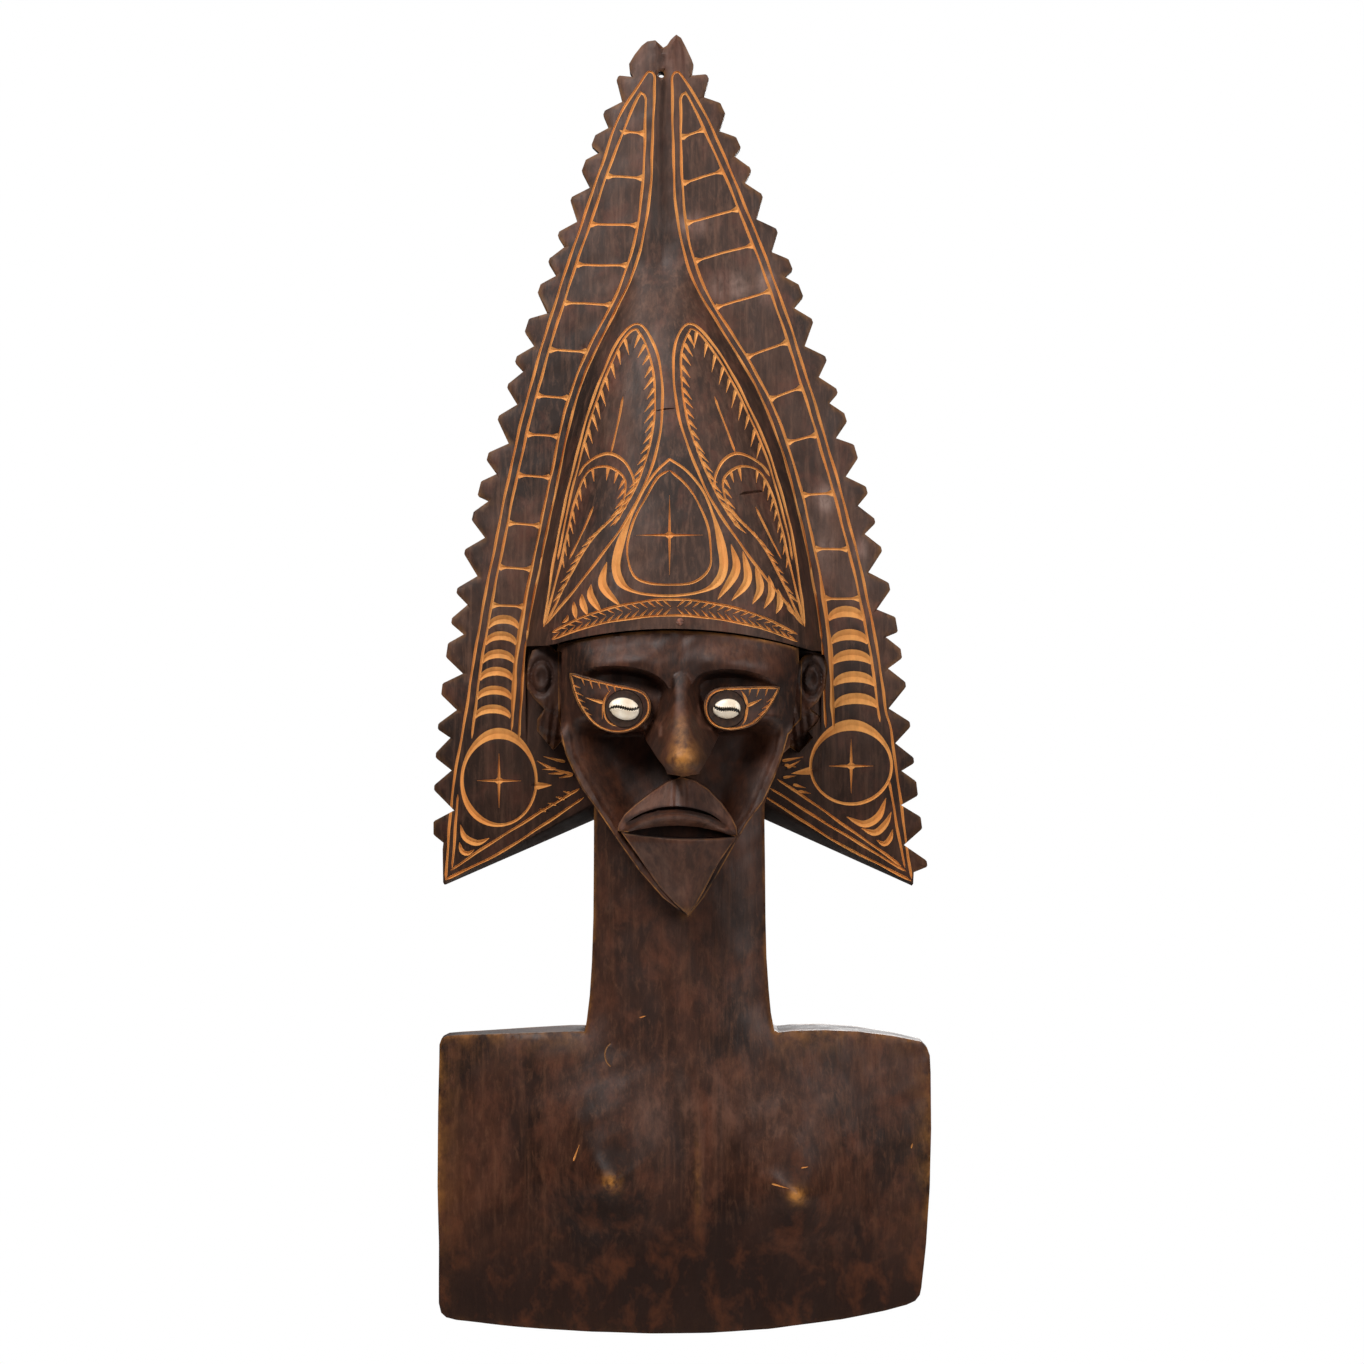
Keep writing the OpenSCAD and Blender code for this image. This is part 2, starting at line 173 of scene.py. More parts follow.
class Relief:
    """A timber carved in relief: a front surface over an outline, side walls and a back.

    Regions step the front to another depth inside a closed polygon. Cuts are grooves with a
    width at each point of a centre line. Their edges are edges of the mesh, so they stay crisp.
    """

    EDGE = 0.3  # half the width of the wall between two depths
    LIP = 0.05  # how far inside a region its worn edge starts
    FAR = 9.0  # distance from the rim beyond which nothing depends on it
    CELL = 2  # size of a cell in the search for lines near a point
    CLEAR, BACK_CLEAR = 0.55, 1.8  # free points keep this far from the lines
    BACK_STEP = 9.0  # spacing of the back's free points
    FRONT_ROUND, FRONT_WEAR = 1.4, 2.6  # width of the rounded and of the worn strip at the rim
    BACK_ROUND, BACK_WEAR = 1.8, 2.5
    WALL_DARK = 0.5
    RUB_GAIN = 1.6

    def __init__(self, outline, depth, back, seed_step, shade_paint, rub=None, longest=200.0):
        self.outline = np.array(outline, float)
        self.depth = depth
        self.back = back
        self.seed_step = seed_step
        self.shade_paint = shade_paint
        self.rub = rub
        self.longest = longest
        self.holes = []
        self.regions = []
        self.cuts = []
        self.creases = []

    def hole(self, polygon):
        self.holes.append(np.array(polygon, float))

    def region(self, polygon, depth, worn=1.0):
        """Inside the polygon the front is at depth(x, z, below), with a worn edge."""
        polygon = split_edges(list(map(tuple, polygon)), self.longest)
        if signed_area(polygon) < 0:
            polygon = polygon[::-1]
        self.regions.append((polygon, depth, worn))

    def crease(self, path):
        """A line that the mesh follows."""
        self.creases.append(np.array(path, float))

    def cut(self, path, half_width, depth, raw=1.0):
        """A groove along the path. half_width is one number or one per point."""
        path = np.array(path, float)
        half = np.broadcast_to(np.asarray(half_width, float), (len(path),)).copy()
        self.cuts.append((path, half, depth, raw))

    def surface(self, x, z):
        """Front depth at points, and how worn the edge there is."""
        d = self.depth(x, z)
        worn_all = np.zeros(len(x))
        for polygon, depth, worn in self.regions:
            hit = inside(polygon, x, z)
            if not hit.any():
                continue
            below = d[hit]
            new = depth(x[hit], z[hit], below)
            if worn > 0:
                closed = np.vstack([polygon, polygon[:1]])
                dist, _ = path_distance(closed, x[hit], z[hit])
                drop = np.clip(1 - (dist - self.EDGE) / worn, 0, 1)
                step = np.clip((new - below) / (2 * worn), 0, 1)
                new = new - worn * 0.7 * drop**2 * step
                worn_all[hit] = drop * step * (dist > 2 * self.LIP)
            else:
                worn_all[hit] = np.where(new > below + 0.1, 0, worn_all[hit])
            d[hit] = new
        return d, worn_all

    def gather(self):
        """Points and edges that the front mesh must follow."""
        points, edges = [], []

        def add(path, closed):
            start = len(points)
            points.extend(map(tuple, path))
            count = len(path)
            edges.extend((start + i, start + i + 1) for i in range(count - 1))
            if closed:
                edges.append((start + count - 1, start))

        add(self.outline, True)
        for hole in self.holes:
            add(hole, True)
        for polygon, _, worn in self.regions:
            add(offset(polygon, self.EDGE, True), True)
            add(offset(polygon, -self.EDGE, True), True)
            if worn > 0:
                add(offset(polygon, self.LIP, True), True)
                add(offset(polygon, self.EDGE + worn, True), True)
        for path in self.creases:
            add(path, False)
        for path, half, _, _ in self.cuts:
            left, right = offset(path, half), offset(path, -half)
            add(path, False)
            add(left, False)
            add(right, False)
            for i in (0, -1):
                add([left[i], path[i], right[i]], False)
        return points, edges

    def seeds(self):
        """Free points that fill the front, further apart where seed_step says so."""
        low, high = self.outline.min(0), self.outline.max(0)
        out = []
        for step, keep in self.seed_step:
            gx, gz = np.meshgrid(np.arange(low[0], high[0], step), np.arange(low[1], high[1], step * 0.87))
            gx = gx + (np.arange(gz.shape[0]) % 2)[:, None] * step / 2
            x, z = gx.ravel(), gz.ravel()
            wobble = np.random.default_rng(FILL_SEED).uniform(-0.18, 0.18, (2, len(x))) * step
            x, z = x + wobble[0], z + wobble[1]
            ok = keep(x, z)
            out.append(np.column_stack([x[ok], z[ok]]))
        p = np.vstack(out)
        p = p[inside(self.outline, p[:, 0], p[:, 1])]
        return p

    def clear_of_lines(self, p, lines, gap):
        """Free points that aren't almost on a line. Lines are cut into short dashes for speed."""
        cell = {}
        for path in lines:
            path = np.asarray(path)
            for a, b in zip(path, path[1:]):
                count = max(1, int(np.linalg.norm(b - a) / 0.6))
                for t in np.arange(count + 1) / count:
                    q = a + (b - a) * t
                    cell.setdefault((int(q[0] // self.CELL), int(q[1] // self.CELL)), []).append(q)
        around = [(dx, dz) for dx in (-1, 0, 1) for dz in (-1, 0, 1)]
        keep = np.ones(len(p), bool)
        for i, (x, z) in enumerate(p):
            cx, cz = int(x // self.CELL), int(z // self.CELL)
            near = (q for dx, dz in around for q in cell.get((cx + dx, cz + dz), ()))
            keep[i] = not any((q[0] - x) ** 2 + (q[1] - z) ** 2 < gap * gap for q in near)
        return p[keep]

    def carve(self, x, z):
        """How deep the cuts go at points, and how raw the wood is there."""
        deep = np.zeros(len(x))
        raw = np.zeros(len(x))
        order = np.argsort(z)
        zs = z[order]
        for path, half, depth, strength in self.cuts:
            reach = half.max() + 0.05
            low, high = path.min(0) - reach, path.max(0) + reach
            i0, i1 = np.searchsorted(zs, [low[1], high[1]])
            near = order[i0:i1]
            near = near[(x[near] > low[0]) & (x[near] < high[0])]
            if not len(near):
                continue
            dist, along = path_distance(path, x[near], z[near])
            lengths = np.concatenate([[0], np.cumsum(np.linalg.norm(np.diff(path, axis=0), axis=1))])
            width = np.interp(along, lengths / max(lengths[-1], 1e-9), half)
            share = np.clip(1 - dist / np.maximum(width, 0.02), 0, 1)
            floor = depth * np.minimum(1, width / (0.55 * half.max())) * share
            deep[near] = np.maximum(deep[near], floor)
            raw[near] = np.maximum(raw[near], np.where(dist < width, strength * (0.45 + 0.55 * share), 0))
        return deep, raw

    def triangles(self, points, edges):
        """Delaunay triangles that keep the given edges and lie inside the outline."""
        verts, _, faces, *_ = delaunay_2d_cdt([Vector(p) for p in points], edges, [], 0, 1e-4, False)
        v = np.array([(q.x, q.y) for q in verts])
        f = np.array([t for t in faces if len(t) == 3])
        middle = v[f].mean(1)
        ok = inside(self.outline, middle[:, 0], middle[:, 1])
        for hole in self.holes:
            ok &= ~inside(hole, middle[:, 0], middle[:, 1])
        f = f[ok]
        a, b, c = v[f[:, 0]], v[f[:, 1]], v[f[:, 2]]
        area = (b[:, 0] - a[:, 0]) * (c[:, 1] - a[:, 1]) - (b[:, 1] - a[:, 1]) * (c[:, 0] - a[:, 0])
        f[area < 0] = f[area < 0][:, ::-1]
        used, again = np.unique(f, return_inverse=True)
        return v[used], again.reshape(f.shape)

    def from_rim(self, x, z):
        """Distance of points from the nearest outline, no more than FAR."""
        nearest = np.full(len(x), self.FAR)
        for loop in [self.outline] + self.holes:
            dist, _ = path_distance(np.vstack([loop, loop[:1]]), x, z)
            nearest = np.minimum(nearest, dist)
        return nearest

    def front_mesh(self):
        """Vertices, triangles, depth and wear of the carved front."""
        points, edges = self.gather()
        lines = [[points[a], points[b]] for a, b in edges]
        free = self.clear_of_lines(self.seeds(), lines, self.CLEAR)
        v, f = self.triangles(points + [tuple(q) for q in free], edges)
        x, z = v[:, 0], v[:, 1]
        skin, worn = self.surface(x, z)
        deep, _ = self.carve(x, z)
        rim = self.from_rim(x, z)
        depth = skin - deep - np.clip(1 - rim / self.FRONT_ROUND, 0, 1) ** 2
        return v, f, depth, np.maximum(worn, 0.5 * np.clip(1 - rim / self.FRONT_WEAR, 0, 1))

    def back_mesh(self, v, loops):
        """Vertices, triangles, depth and wear of the back, inside the loops that bound the front."""
        points = [tuple(v[i]) for loop in loops for i in loop]
        edges, start = [], 0
        for loop in loops:
            edges += [(start + i, start + (i + 1) % len(loop)) for i in range(len(loop))]
            start += len(loop)
        low, high = self.outline.min(0) + 3, self.outline.max(0)
        across = np.arange(low[0], high[0], self.BACK_STEP)
        gx, gz = np.meshgrid(across, np.arange(low[1], high[1], self.BACK_STEP))
        grid = np.column_stack([gx.ravel(), gz.ravel()])
        grid = grid[inside(self.outline, grid[:, 0], grid[:, 1])]
        rim_line = np.vstack([self.outline, self.outline[:1]])
        grid = self.clear_of_lines(grid, [rim_line], self.BACK_CLEAR)
        v, f = self.triangles(points + [tuple(q) for q in grid], edges)
        rim = self.from_rim(v[:, 0], v[:, 1])
        depth = self.back(v[:, 0], v[:, 1]) + 1.2 * np.clip(1 - rim / self.BACK_ROUND, 0, 1) ** 2
        return v, f, depth, np.clip(1 - rim / self.BACK_WEAR, 0, 1)

    def build(self, name, rows=5):
        """The closed timber: front, back, and walls with so many rows of faces between them."""
        v, f, front, worn = self.front_mesh()
        loops = boundary_loops(f)
        back_v, back_f, back, back_worn = self.back_mesh(v, loops)
        base, total = len(v), len(v) + len(back_v)
        coords = [place(v[:, 0], front, v[:, 1]), place(back_v[:, 0], back, back_v[:, 1])]
        faces = [f, back_f[:, ::-1] + base]
        index = {(round(p[0], 3), round(p[1], 3)): i for i, p in enumerate(back_v)}
        for loop in loops:
            top = np.array(loop)
            bottom = np.array([index[(round(v[i][0], 3), round(v[i][1], 3))] + base for i in loop])
            near, far = front[top], back[bottom - base]
            rings = [top]
            for k in range(1, rows):
                t = k / rows
                coords.append(place(v[top][:, 0], near + (far - near) * t, v[top][:, 1]))
                rings.append(np.arange(total, total + len(top)))
                total += len(top)
            rings.append(bottom)
            for ring, following in zip(rings, rings[1:]):
                a, b = ring, np.roll(ring, -1)
                c, e = np.roll(following, -1), following
                faces += [np.column_stack([b, a, e]), np.column_stack([b, e, c])]
        co, fa = np.vstack(coords), np.vstack(faces)
        on_front, on_back = slice(0, base), slice(base, base + len(back_v))
        worn_all, dark = np.zeros(len(co)), np.full(len(co), self.WALL_DARK)
        if self.rub:
            worn = np.maximum(worn, self.rub(v[:, 0], v[:, 1]) * self.RUB_GAIN)
        worn_all[on_front], worn_all[on_back] = worn, back_worn
        # painted shade and painted highlights on the front, a middle darkening on the walls, none on the
        # back
        dark[on_front], dark[on_back] = self.shade_paint(v[:, 0], v[:, 1]), 0
        middle = v[f].mean(1)
        cut = np.zeros(len(fa))
        cut[: len(f)] = self.carve(middle[:, 0], middle[:, 1])[1]
        return make_mesh(name, co, fa, {"worn": worn_all, "dark": dark, "cut": cut})


def signed_area(p):
    q = np.roll(p, -1, axis=0)
    return 0.5 * (p[:, 0] * q[:, 1] - q[:, 0] * p[:, 1]).sum()


def boundary_loops(f):
    """Open edges of the triangles, joined into loops that run the way the faces turn."""
    directed = np.vstack([f[:, [0, 1]], f[:, [1, 2]], f[:, [2, 0]]])
    seen = {(int(a), int(b)) for a, b in directed}
    following = {}
    for a, b in seen:
        if (b, a) not in seen:
            following.setdefault(a, []).append(b)
    loops = []
    while following:
        start = min(following)
        loop, at = [start], start
        while True:
            choices = following[at]
            to = choices.pop()
            if not choices:
                del following[at]
            if to == start:
                break
            loop.append(to)
            at = to
        loops.append(loop)
    return loops


def add_piece(name, mesh, sharp):
    """Object of a finished mesh, smooth except at edges sharper than so many degrees."""
    mesh.validate()
    mesh.update()
    mesh.shade_smooth()
    mesh.set_sharp_from_angle(angle=math.radians(sharp))
    piece = bpy.data.objects.new(name, mesh)
    bpy.context.collection.objects.link(piece)
    return piece


def make_mesh(name, co, fa, values):
    mesh = bpy.data.meshes.new(name)
    mesh.from_pydata(co.tolist(), [], fa.tolist())
    for key, numbers in values.items():
        domain = "FACE" if len(numbers) == len(fa) else "POINT"
        mesh.attributes.new(key, "FLOAT", domain).data.foreach_set("value", numbers.astype(np.float32))
    return add_piece(name, mesh, 28)


# ---------------------------------------------------------------- headdress

LEAN_LOW, LEAN_TOP = -4.0, -13.0
WING_Z, CREST_Z = 305.0, 892.0
LAP_Z, LAP_DEPTH = 351.0, 24.0
WING_SPAN = 338.0
TEETH, TOOTH_DEPTH = 24, 11.0
NECK_HALF = 59.0
HOLE = (-13.0, 864.5)
HOLE_R = 2.25
RAISE = CREST_Z - WING_Z


def lean(z):
    """Middle of the headdress, which leans to the left towards its crest."""
    return LEAN_LOW + (LEAN_TOP - LEAN_LOW) * np.clip((z - WING_Z) / RAISE, 0, 1.1) ** 3


def bezier(a, b, c, d, t):
    return (1 - t) ** 3 * a + 3 * (1 - t) ** 2 * t * b + 3 * (1 - t) * t * t * c + t**3 * d


def edge_half(t):
    return WING_SPAN / 2 * bezier(0.985, 1, 0.575, 0.165, t)


def edge_z(t):
    return WING_Z + RAISE * bezier(0.05, 0.375, 0.695, 0.965, t)


def flare(side, t):
    """The right wing flares outwards at its foot."""
    return 6.5 * max(0, 1 - t / 0.15) ** 2 if side > 0 else 0


def edge(side, t, inset):
    """Point a distance inside the edge of the headdress, the same rule as in the CAD."""
    step = 0.01
    dx = edge_half(t + step) - edge_half(t - step)
    dz = edge_z(t + step) - edge_z(t - step)
    length = math.hypot(dx, dz)
    z = edge_z(t) + inset * dx / length
    return (lean(z) + side * (edge_half(t) + flare(side, t) - inset * dz / length), z)


def uneven(i, side):
    """A steady value from -1 to 1 that differs from tooth to tooth."""
    return math.sin(math.radians(97 * i + 40 * side))


def tooth(side, i):
    """Blunt tip of one tooth and the notch above it."""
    pitch = 1 / TEETH
    t = (i + 0.5 + 0.12 * uneven(i, side)) * pitch
    depth = TOOTH_DEPTH * (1 + 0.2 * uneven(i + 5, side)) * (1.1 - 0.4 * t)
    blunt = (0.06 + 0.13 * max(0, uneven(3 * i + 1, side))) * pitch
    tip = [
        edge(side, t - blunt - 0.05 * pitch, 1.0),
        edge(side, t - blunt, 0.1),
        edge(side, t + blunt, 0.1),
        edge(side, t + blunt + 0.05 * pitch, 1.0),
    ]
    return tip + ([edge(side, t + 0.53 * pitch, depth)] if i < TEETH - 1 else [])


def headdress_outline():
    """Root, left wing tip and edge, crest, right edge and wing tip, in order."""
    left = [p for i in range(TEETH) for p in tooth(-1, i)]
    right = [p for i in reversed(range(-1, TEETH)) for p in reversed(tooth(1, i))]
    crest = [
        (-32.2, 863), (-34.6, 867), (-35.2, 872.4), (-31.5, 878.5), (-26.5, 884.5), (-22.5, 887.3),
        (-17, 887.8), (-14, 885.3), (-11.5, 883.2), (-9, 884.5), (-6.2, 888.5), (-2.6, 892), (0.8, 890),
        (4, 884), (8.2, 875), (9.4, 871.5), (8.2, 864),
    ]
    low_left = [edge(-1, 0.0, 7), (-164, 330), (-163.7, 307), (-162.4, 305)]
    low_right = [(160, 304.6), (161.2, 306), (161.6, 314)]
    root = [(NECK_HALF - 2, LAP_Z), (-NECK_HALF + 2, LAP_Z)]
    points = root + low_left[::-1] + left + crest + right + low_right[::-1]
    return split_edges(points, 5.0)


half_at = rule(sorted((edge_z(t), edge_half(t)) for t in np.linspace(-0.1, 1.1, 30)))
inner_half = rule([
    (400, 106), (470, 102), (530, 92), (590, 78.7), (630, 67.5), (660, 55), (690, 38.5), (712, 26),
    (735, 17), (760, 11.3), (790, 8), (862, 6),
])
dome_front = rule([
    (440, 101), (480, 100), (520, 97), (560, 91), (600, 83), (650, 69), (700, 51), (735, 38), (780, 34),
    (900, 30),
])
middle_x = rule([
    (300, -5.5), (425, -5), (515, -3.4), (570, -3.6), (610, -5.2), (650, -8.3), (690, -11.3),
    (730, -12.6), (790, -12), (900, -11.2),
])


def arch_z(x):
    """Underside of the brim."""
    return 481 - (np.clip(x, -90, 90) + 6) ** 2 / 640


def board_depth(x, z):
    """Front of the board without its dome: thin at the edge, with a valley up the crest."""
    share = np.clip(np.abs(x - lean(z)) / np.maximum(half_at(z), 20), 0, 1.1)
    middle = 34 - 9 * smooth(640, 880, z)
    rim = 15.0
    d = middle + (rim - middle) * share**1.7
    # the two leaves of the crest meet in a valley
    away = np.abs(x - middle_x(z)) / (0.9 * inner_half(z) + 1)
    d = d - 4.5 * smooth(670, 750, z) * np.clip(1 - away, 0, 1) ** 1.3
    return d + 0.5 * waves(x, z, 61, 1) + 0.25 * waves(x, z, 23, 2)


def headdress_depth(x, z):
    """Board and dome. The dome is boxy at the brim and round further up."""
    d = board_depth(x, z)
    u = np.clip(np.abs(x - middle_x(z)) / inner_half(z), 0, 1)
    boxy = 1 - smooth(480, 600, z)
    bulge = (1 - u ** (2.1 + 0.5 * boxy)) ** (0.74 - 0.19 * boxy)
    rise = np.maximum(dome_front(z) - 34, 0) * (1 - smooth(715, 745, z)) * smooth(452, 460, z)
    return d + rise * bulge


def bare_board(x, z, below):
    """Depth under the brim, where the board stands without its dome."""
    return board_depth(x, z)


def lap(x, z, below):
    """Depth of the rebate that the head fills."""
    return LAP_DEPTH + 0 * x


def wing_bevel(side):
    """Underside of a wing, cut back so that its front edge is the higher one."""
    tip = (-162, 305) if side < 0 else (159, 305)
    root_x = side * (NECK_HALF - 2)
    front = [(tip[0], tip[1] + 1.5), (root_x, LAP_Z + 12)]

    def depth(x, z, below):
        t = (x - tip[0]) / (root_x - tip[0])
        top = front[0][1] + t * (front[1][1] - front[0][1])
        low = tip[1] + t * (LAP_Z - tip[1])
        down = np.clip((top - z) / np.maximum(top - low, 0.5), 0, 1)
        return below + (4.0 - below) * down**1.2

    polygon = [front[0], front[1], (root_x, LAP_Z - 4), (tip[0] + side * 3, tip[1] - 4)]
    return polygon, depth


THIN = 0.85
LINE_DEEP = 1.2
ABOUT_A_TURN = 6.28


def hand(path, amount=0.22):
    """A line cut by hand wanders a little."""
    path = np.asarray(path, float)
    s = np.concatenate([[0], np.cumsum(np.linalg.norm(np.diff(path, axis=0), axis=1))])
    a, b, _ = random.uniform(0, ABOUT_A_TURN, 3)
    move = amount * (np.sin(s / 9 + a) + 0.6 * np.sin(s / 4.1 + b)) / 1.4
    return offset(path, move)


def scored(relief, path, half=THIN, deep=LINE_DEEP):
    """A line of even width with pointed ends."""
    path = hand(path)
    s = np.concatenate([[0], np.cumsum(np.linalg.norm(np.diff(path, axis=0), axis=1))])
    near_end = np.minimum(s, s[-1] - s)
    wobble = 1 + 0.18 * np.sin(s / 6.3 + random.uniform(0, ABOUT_A_TURN))
    relief.cut(path, half * wobble * np.clip(0.15 + near_end / 4.0, 0, 1), deep)


def crescent(relief, path, half, deep=1.7, power=0.8):
    """A gouged crescent, widest in the middle."""
    path = np.asarray(path, float)
    s = np.linspace(0, 1, len(path))
    relief.cut(path, np.maximum(half * np.sin(np.pi * s) ** power, 0.12), deep)


def barb(relief, root, tip, half=1.0, deep=1.1):
    """A short chip, wide at its root and pointed at its tip."""
    path = line(root, tip, 1.6)
    s = np.linspace(0, 1, len(path))
    relief.cut(path, np.maximum(half * (1 - s) ** 0.8 * np.minimum(1, 0.5 + 4 * s), 0.12), deep)


def feather(relief, path, length, pitch, inward, half=1.0, fall=(0, -1)):
    """Barbs along a path. Each points the way of fall, and inward (1 is to the left of the path)."""
    path = np.asarray(path, float)
    s = np.concatenate([[0], np.cumsum(np.linalg.norm(np.diff(path, axis=0), axis=1))])
    at = pitch * 0.6
    while at < s[-1] - 1:
        p = np.array([np.interp(at, s, path[:, k]) for k in (0, 1)])
        q = np.array([np.interp(min(at + 1, s[-1]), s, path[:, k]) for k in (0, 1)])
        way = (q - p) / max(np.linalg.norm(q - p), 1e-9)
        to = np.array(fall) + inward * np.array([-way[1], way[0]]) + random.uniform(-0.06, 0.06, 2)
        to /= np.linalg.norm(to)
        size = length * random.uniform(0.85, 1.12)
        barb(relief, p - 0.2 * to, p + size * to, half)
        at += pitch * random.uniform(0.9, 1.1)


def star(relief, centre, right, up, half=1.1):
    """Four pointed arms from a small lozenge."""
    cx, cz = centre
    for dx, dz in ((right, 0), (-right, 0), (0, up), (0, -up)):
        barb(relief, (cx, cz), (cx + dx, cz + dz), half, 1.3)
    lozenge = [(cx + along, cz) for along in (-3.5, -1.6, 0, 1.6, 3.5)]
    relief.cut(lozenge, [0.2, 1.8, 3.0, 1.8, 0.2], 1.8)


def edge_line(side, inset, more, t0, t1, count=70):
    """Line along the edge, at a changing distance inside it."""
    return [edge(side, t, float(inset(t)) + more) for t in np.linspace(t0, t1, count)]


def inner_line(side, shift, z0, z1, count=70):
    """Line along the foot of the dome, on to the valley of the crest."""
    z = np.linspace(z0, z1, count)
    return np.column_stack([middle_x(z) + side * (inner_half(z) + shift), z])


def ladder_band(relief, side):
    """Double loop up each leaf of the headdress, with rungs between the inner lines."""
    if side < 0:
        inset = rule([
            (0.0, 17.5), (0.3, 20.3), (0.42, 19.2), (0.52, 16.5), (0.66, 14.3), (0.81, 12.8), (1.0, 10),
        ])
    else:
        inset = rule([
            (0.0, 14.6), (0.3, 17), (0.45, 18.2), (0.58, 17.6), (0.68, 15.6), (0.81, 14.2), (1.0, 12.6),
        ])
    start = 0.12 if side < 0 else 0.14
    gap = 5.6 if side < 0 else 5.1
    if side < 0:
        loop = [(-162, 308.8), (-156.6, 373.6), (-151.8, 400), (-147.6, 426)]
    else:
        loop = [(159.8, 309.4), (155.6, 340), (150.7, 375.3), (145.8, 411), (142.2, 425)]
    loop += edge_line(side, inset, 0, 0.2, 0.93, 12)
    peak = float(middle_x(868)) + side * 9.5
    loop += [(peak + side * 4.5, 861.5), (peak, 866), (peak - side * 3.4, 863)]
    loop = spline(loop + list(map(tuple, inner_line(side, 0, 853, 474, 18))))
    scored(relief, loop)
    second = edge_line(side, inset, gap, start + 0.01, 0.89, 12)
    peak = float(middle_x(852)) + side * 14.5
    second += [(peak + side * 3, 848.5), (peak, 851), (peak - side * 2.4, 848)]
    second += list(map(tuple, inner_line(side, 5.5, 839, 412, 18)))
    second = spline(second)
    near_dome = side * (second[:, 0] - middle_x(second[:, 1])) < inner_half(second[:, 1]) + 8
    broad = 0.6 * near_dome * smooth(420, 430, second[:, 1]) * (1 - smooth(500, 520, second[:, 1]))
    scored(relief, second, THIN + broad)

    out_z = rule(sorted((z, x) for x, z in edge_line(side, inset, gap, 0, 0.95, 40)))
    rungs = 12 if side < 0 else 11
    for k in range(rungs):
        z = 822 - (29.6 * k if side < 0 else 26 * k + 0.6 * k * k) + 2.5 * uneven(k + 1, side)
        slope = 1.5 if side < 0 else 11.0 * math.sin(math.pi * min(k + 1.6, 10) / 10)
        z_in, z_out = z - 0.5 * slope, z + 0.5 * slope
        a = (float(middle_x(z_in)) + side * (float(inner_half(z_in)) + 7.0), z_in)
        b = (float(out_z(z_out)) - side * 1.5, z_out)
        path = hand(line(a, b, 0.8), 0.25)
        s = np.linspace(0, 1, len(path)) * math.dist(a, b)
        spread = np.clip(1 - s / 4.2, 0, 1) ** 1.5 + np.clip(1 - (s[-1] - s) / 4.2, 0, 1) ** 1.5
        relief.cut(path, THIN * 0.9 + 1.5 * spread, LINE_DEEP)
    half, rise = (3.0 if side < 0 else 3.8), 6.6
    for top in (491.8, 480.5, 468, 456, 443, 430) if side < 0 else (498, 482, 468, 453, 438):
        z = top - half - rise
        a = float(middle_x(z)) + side * (float(inner_half(z)) + 7.2)
        b = float(out_z(z)) - side * 1.2
        turns = np.linspace(0, math.pi, 17)
        arc = [(mix(a, b, (1 - math.cos(t)) / 2), z + rise * math.sin(t)) for t in turns]
        crescent(relief, arc, half, power=0.6)
    scored(relief, inner_line(side, 0.0, 474, 406 if side < 0 else 414, 20))


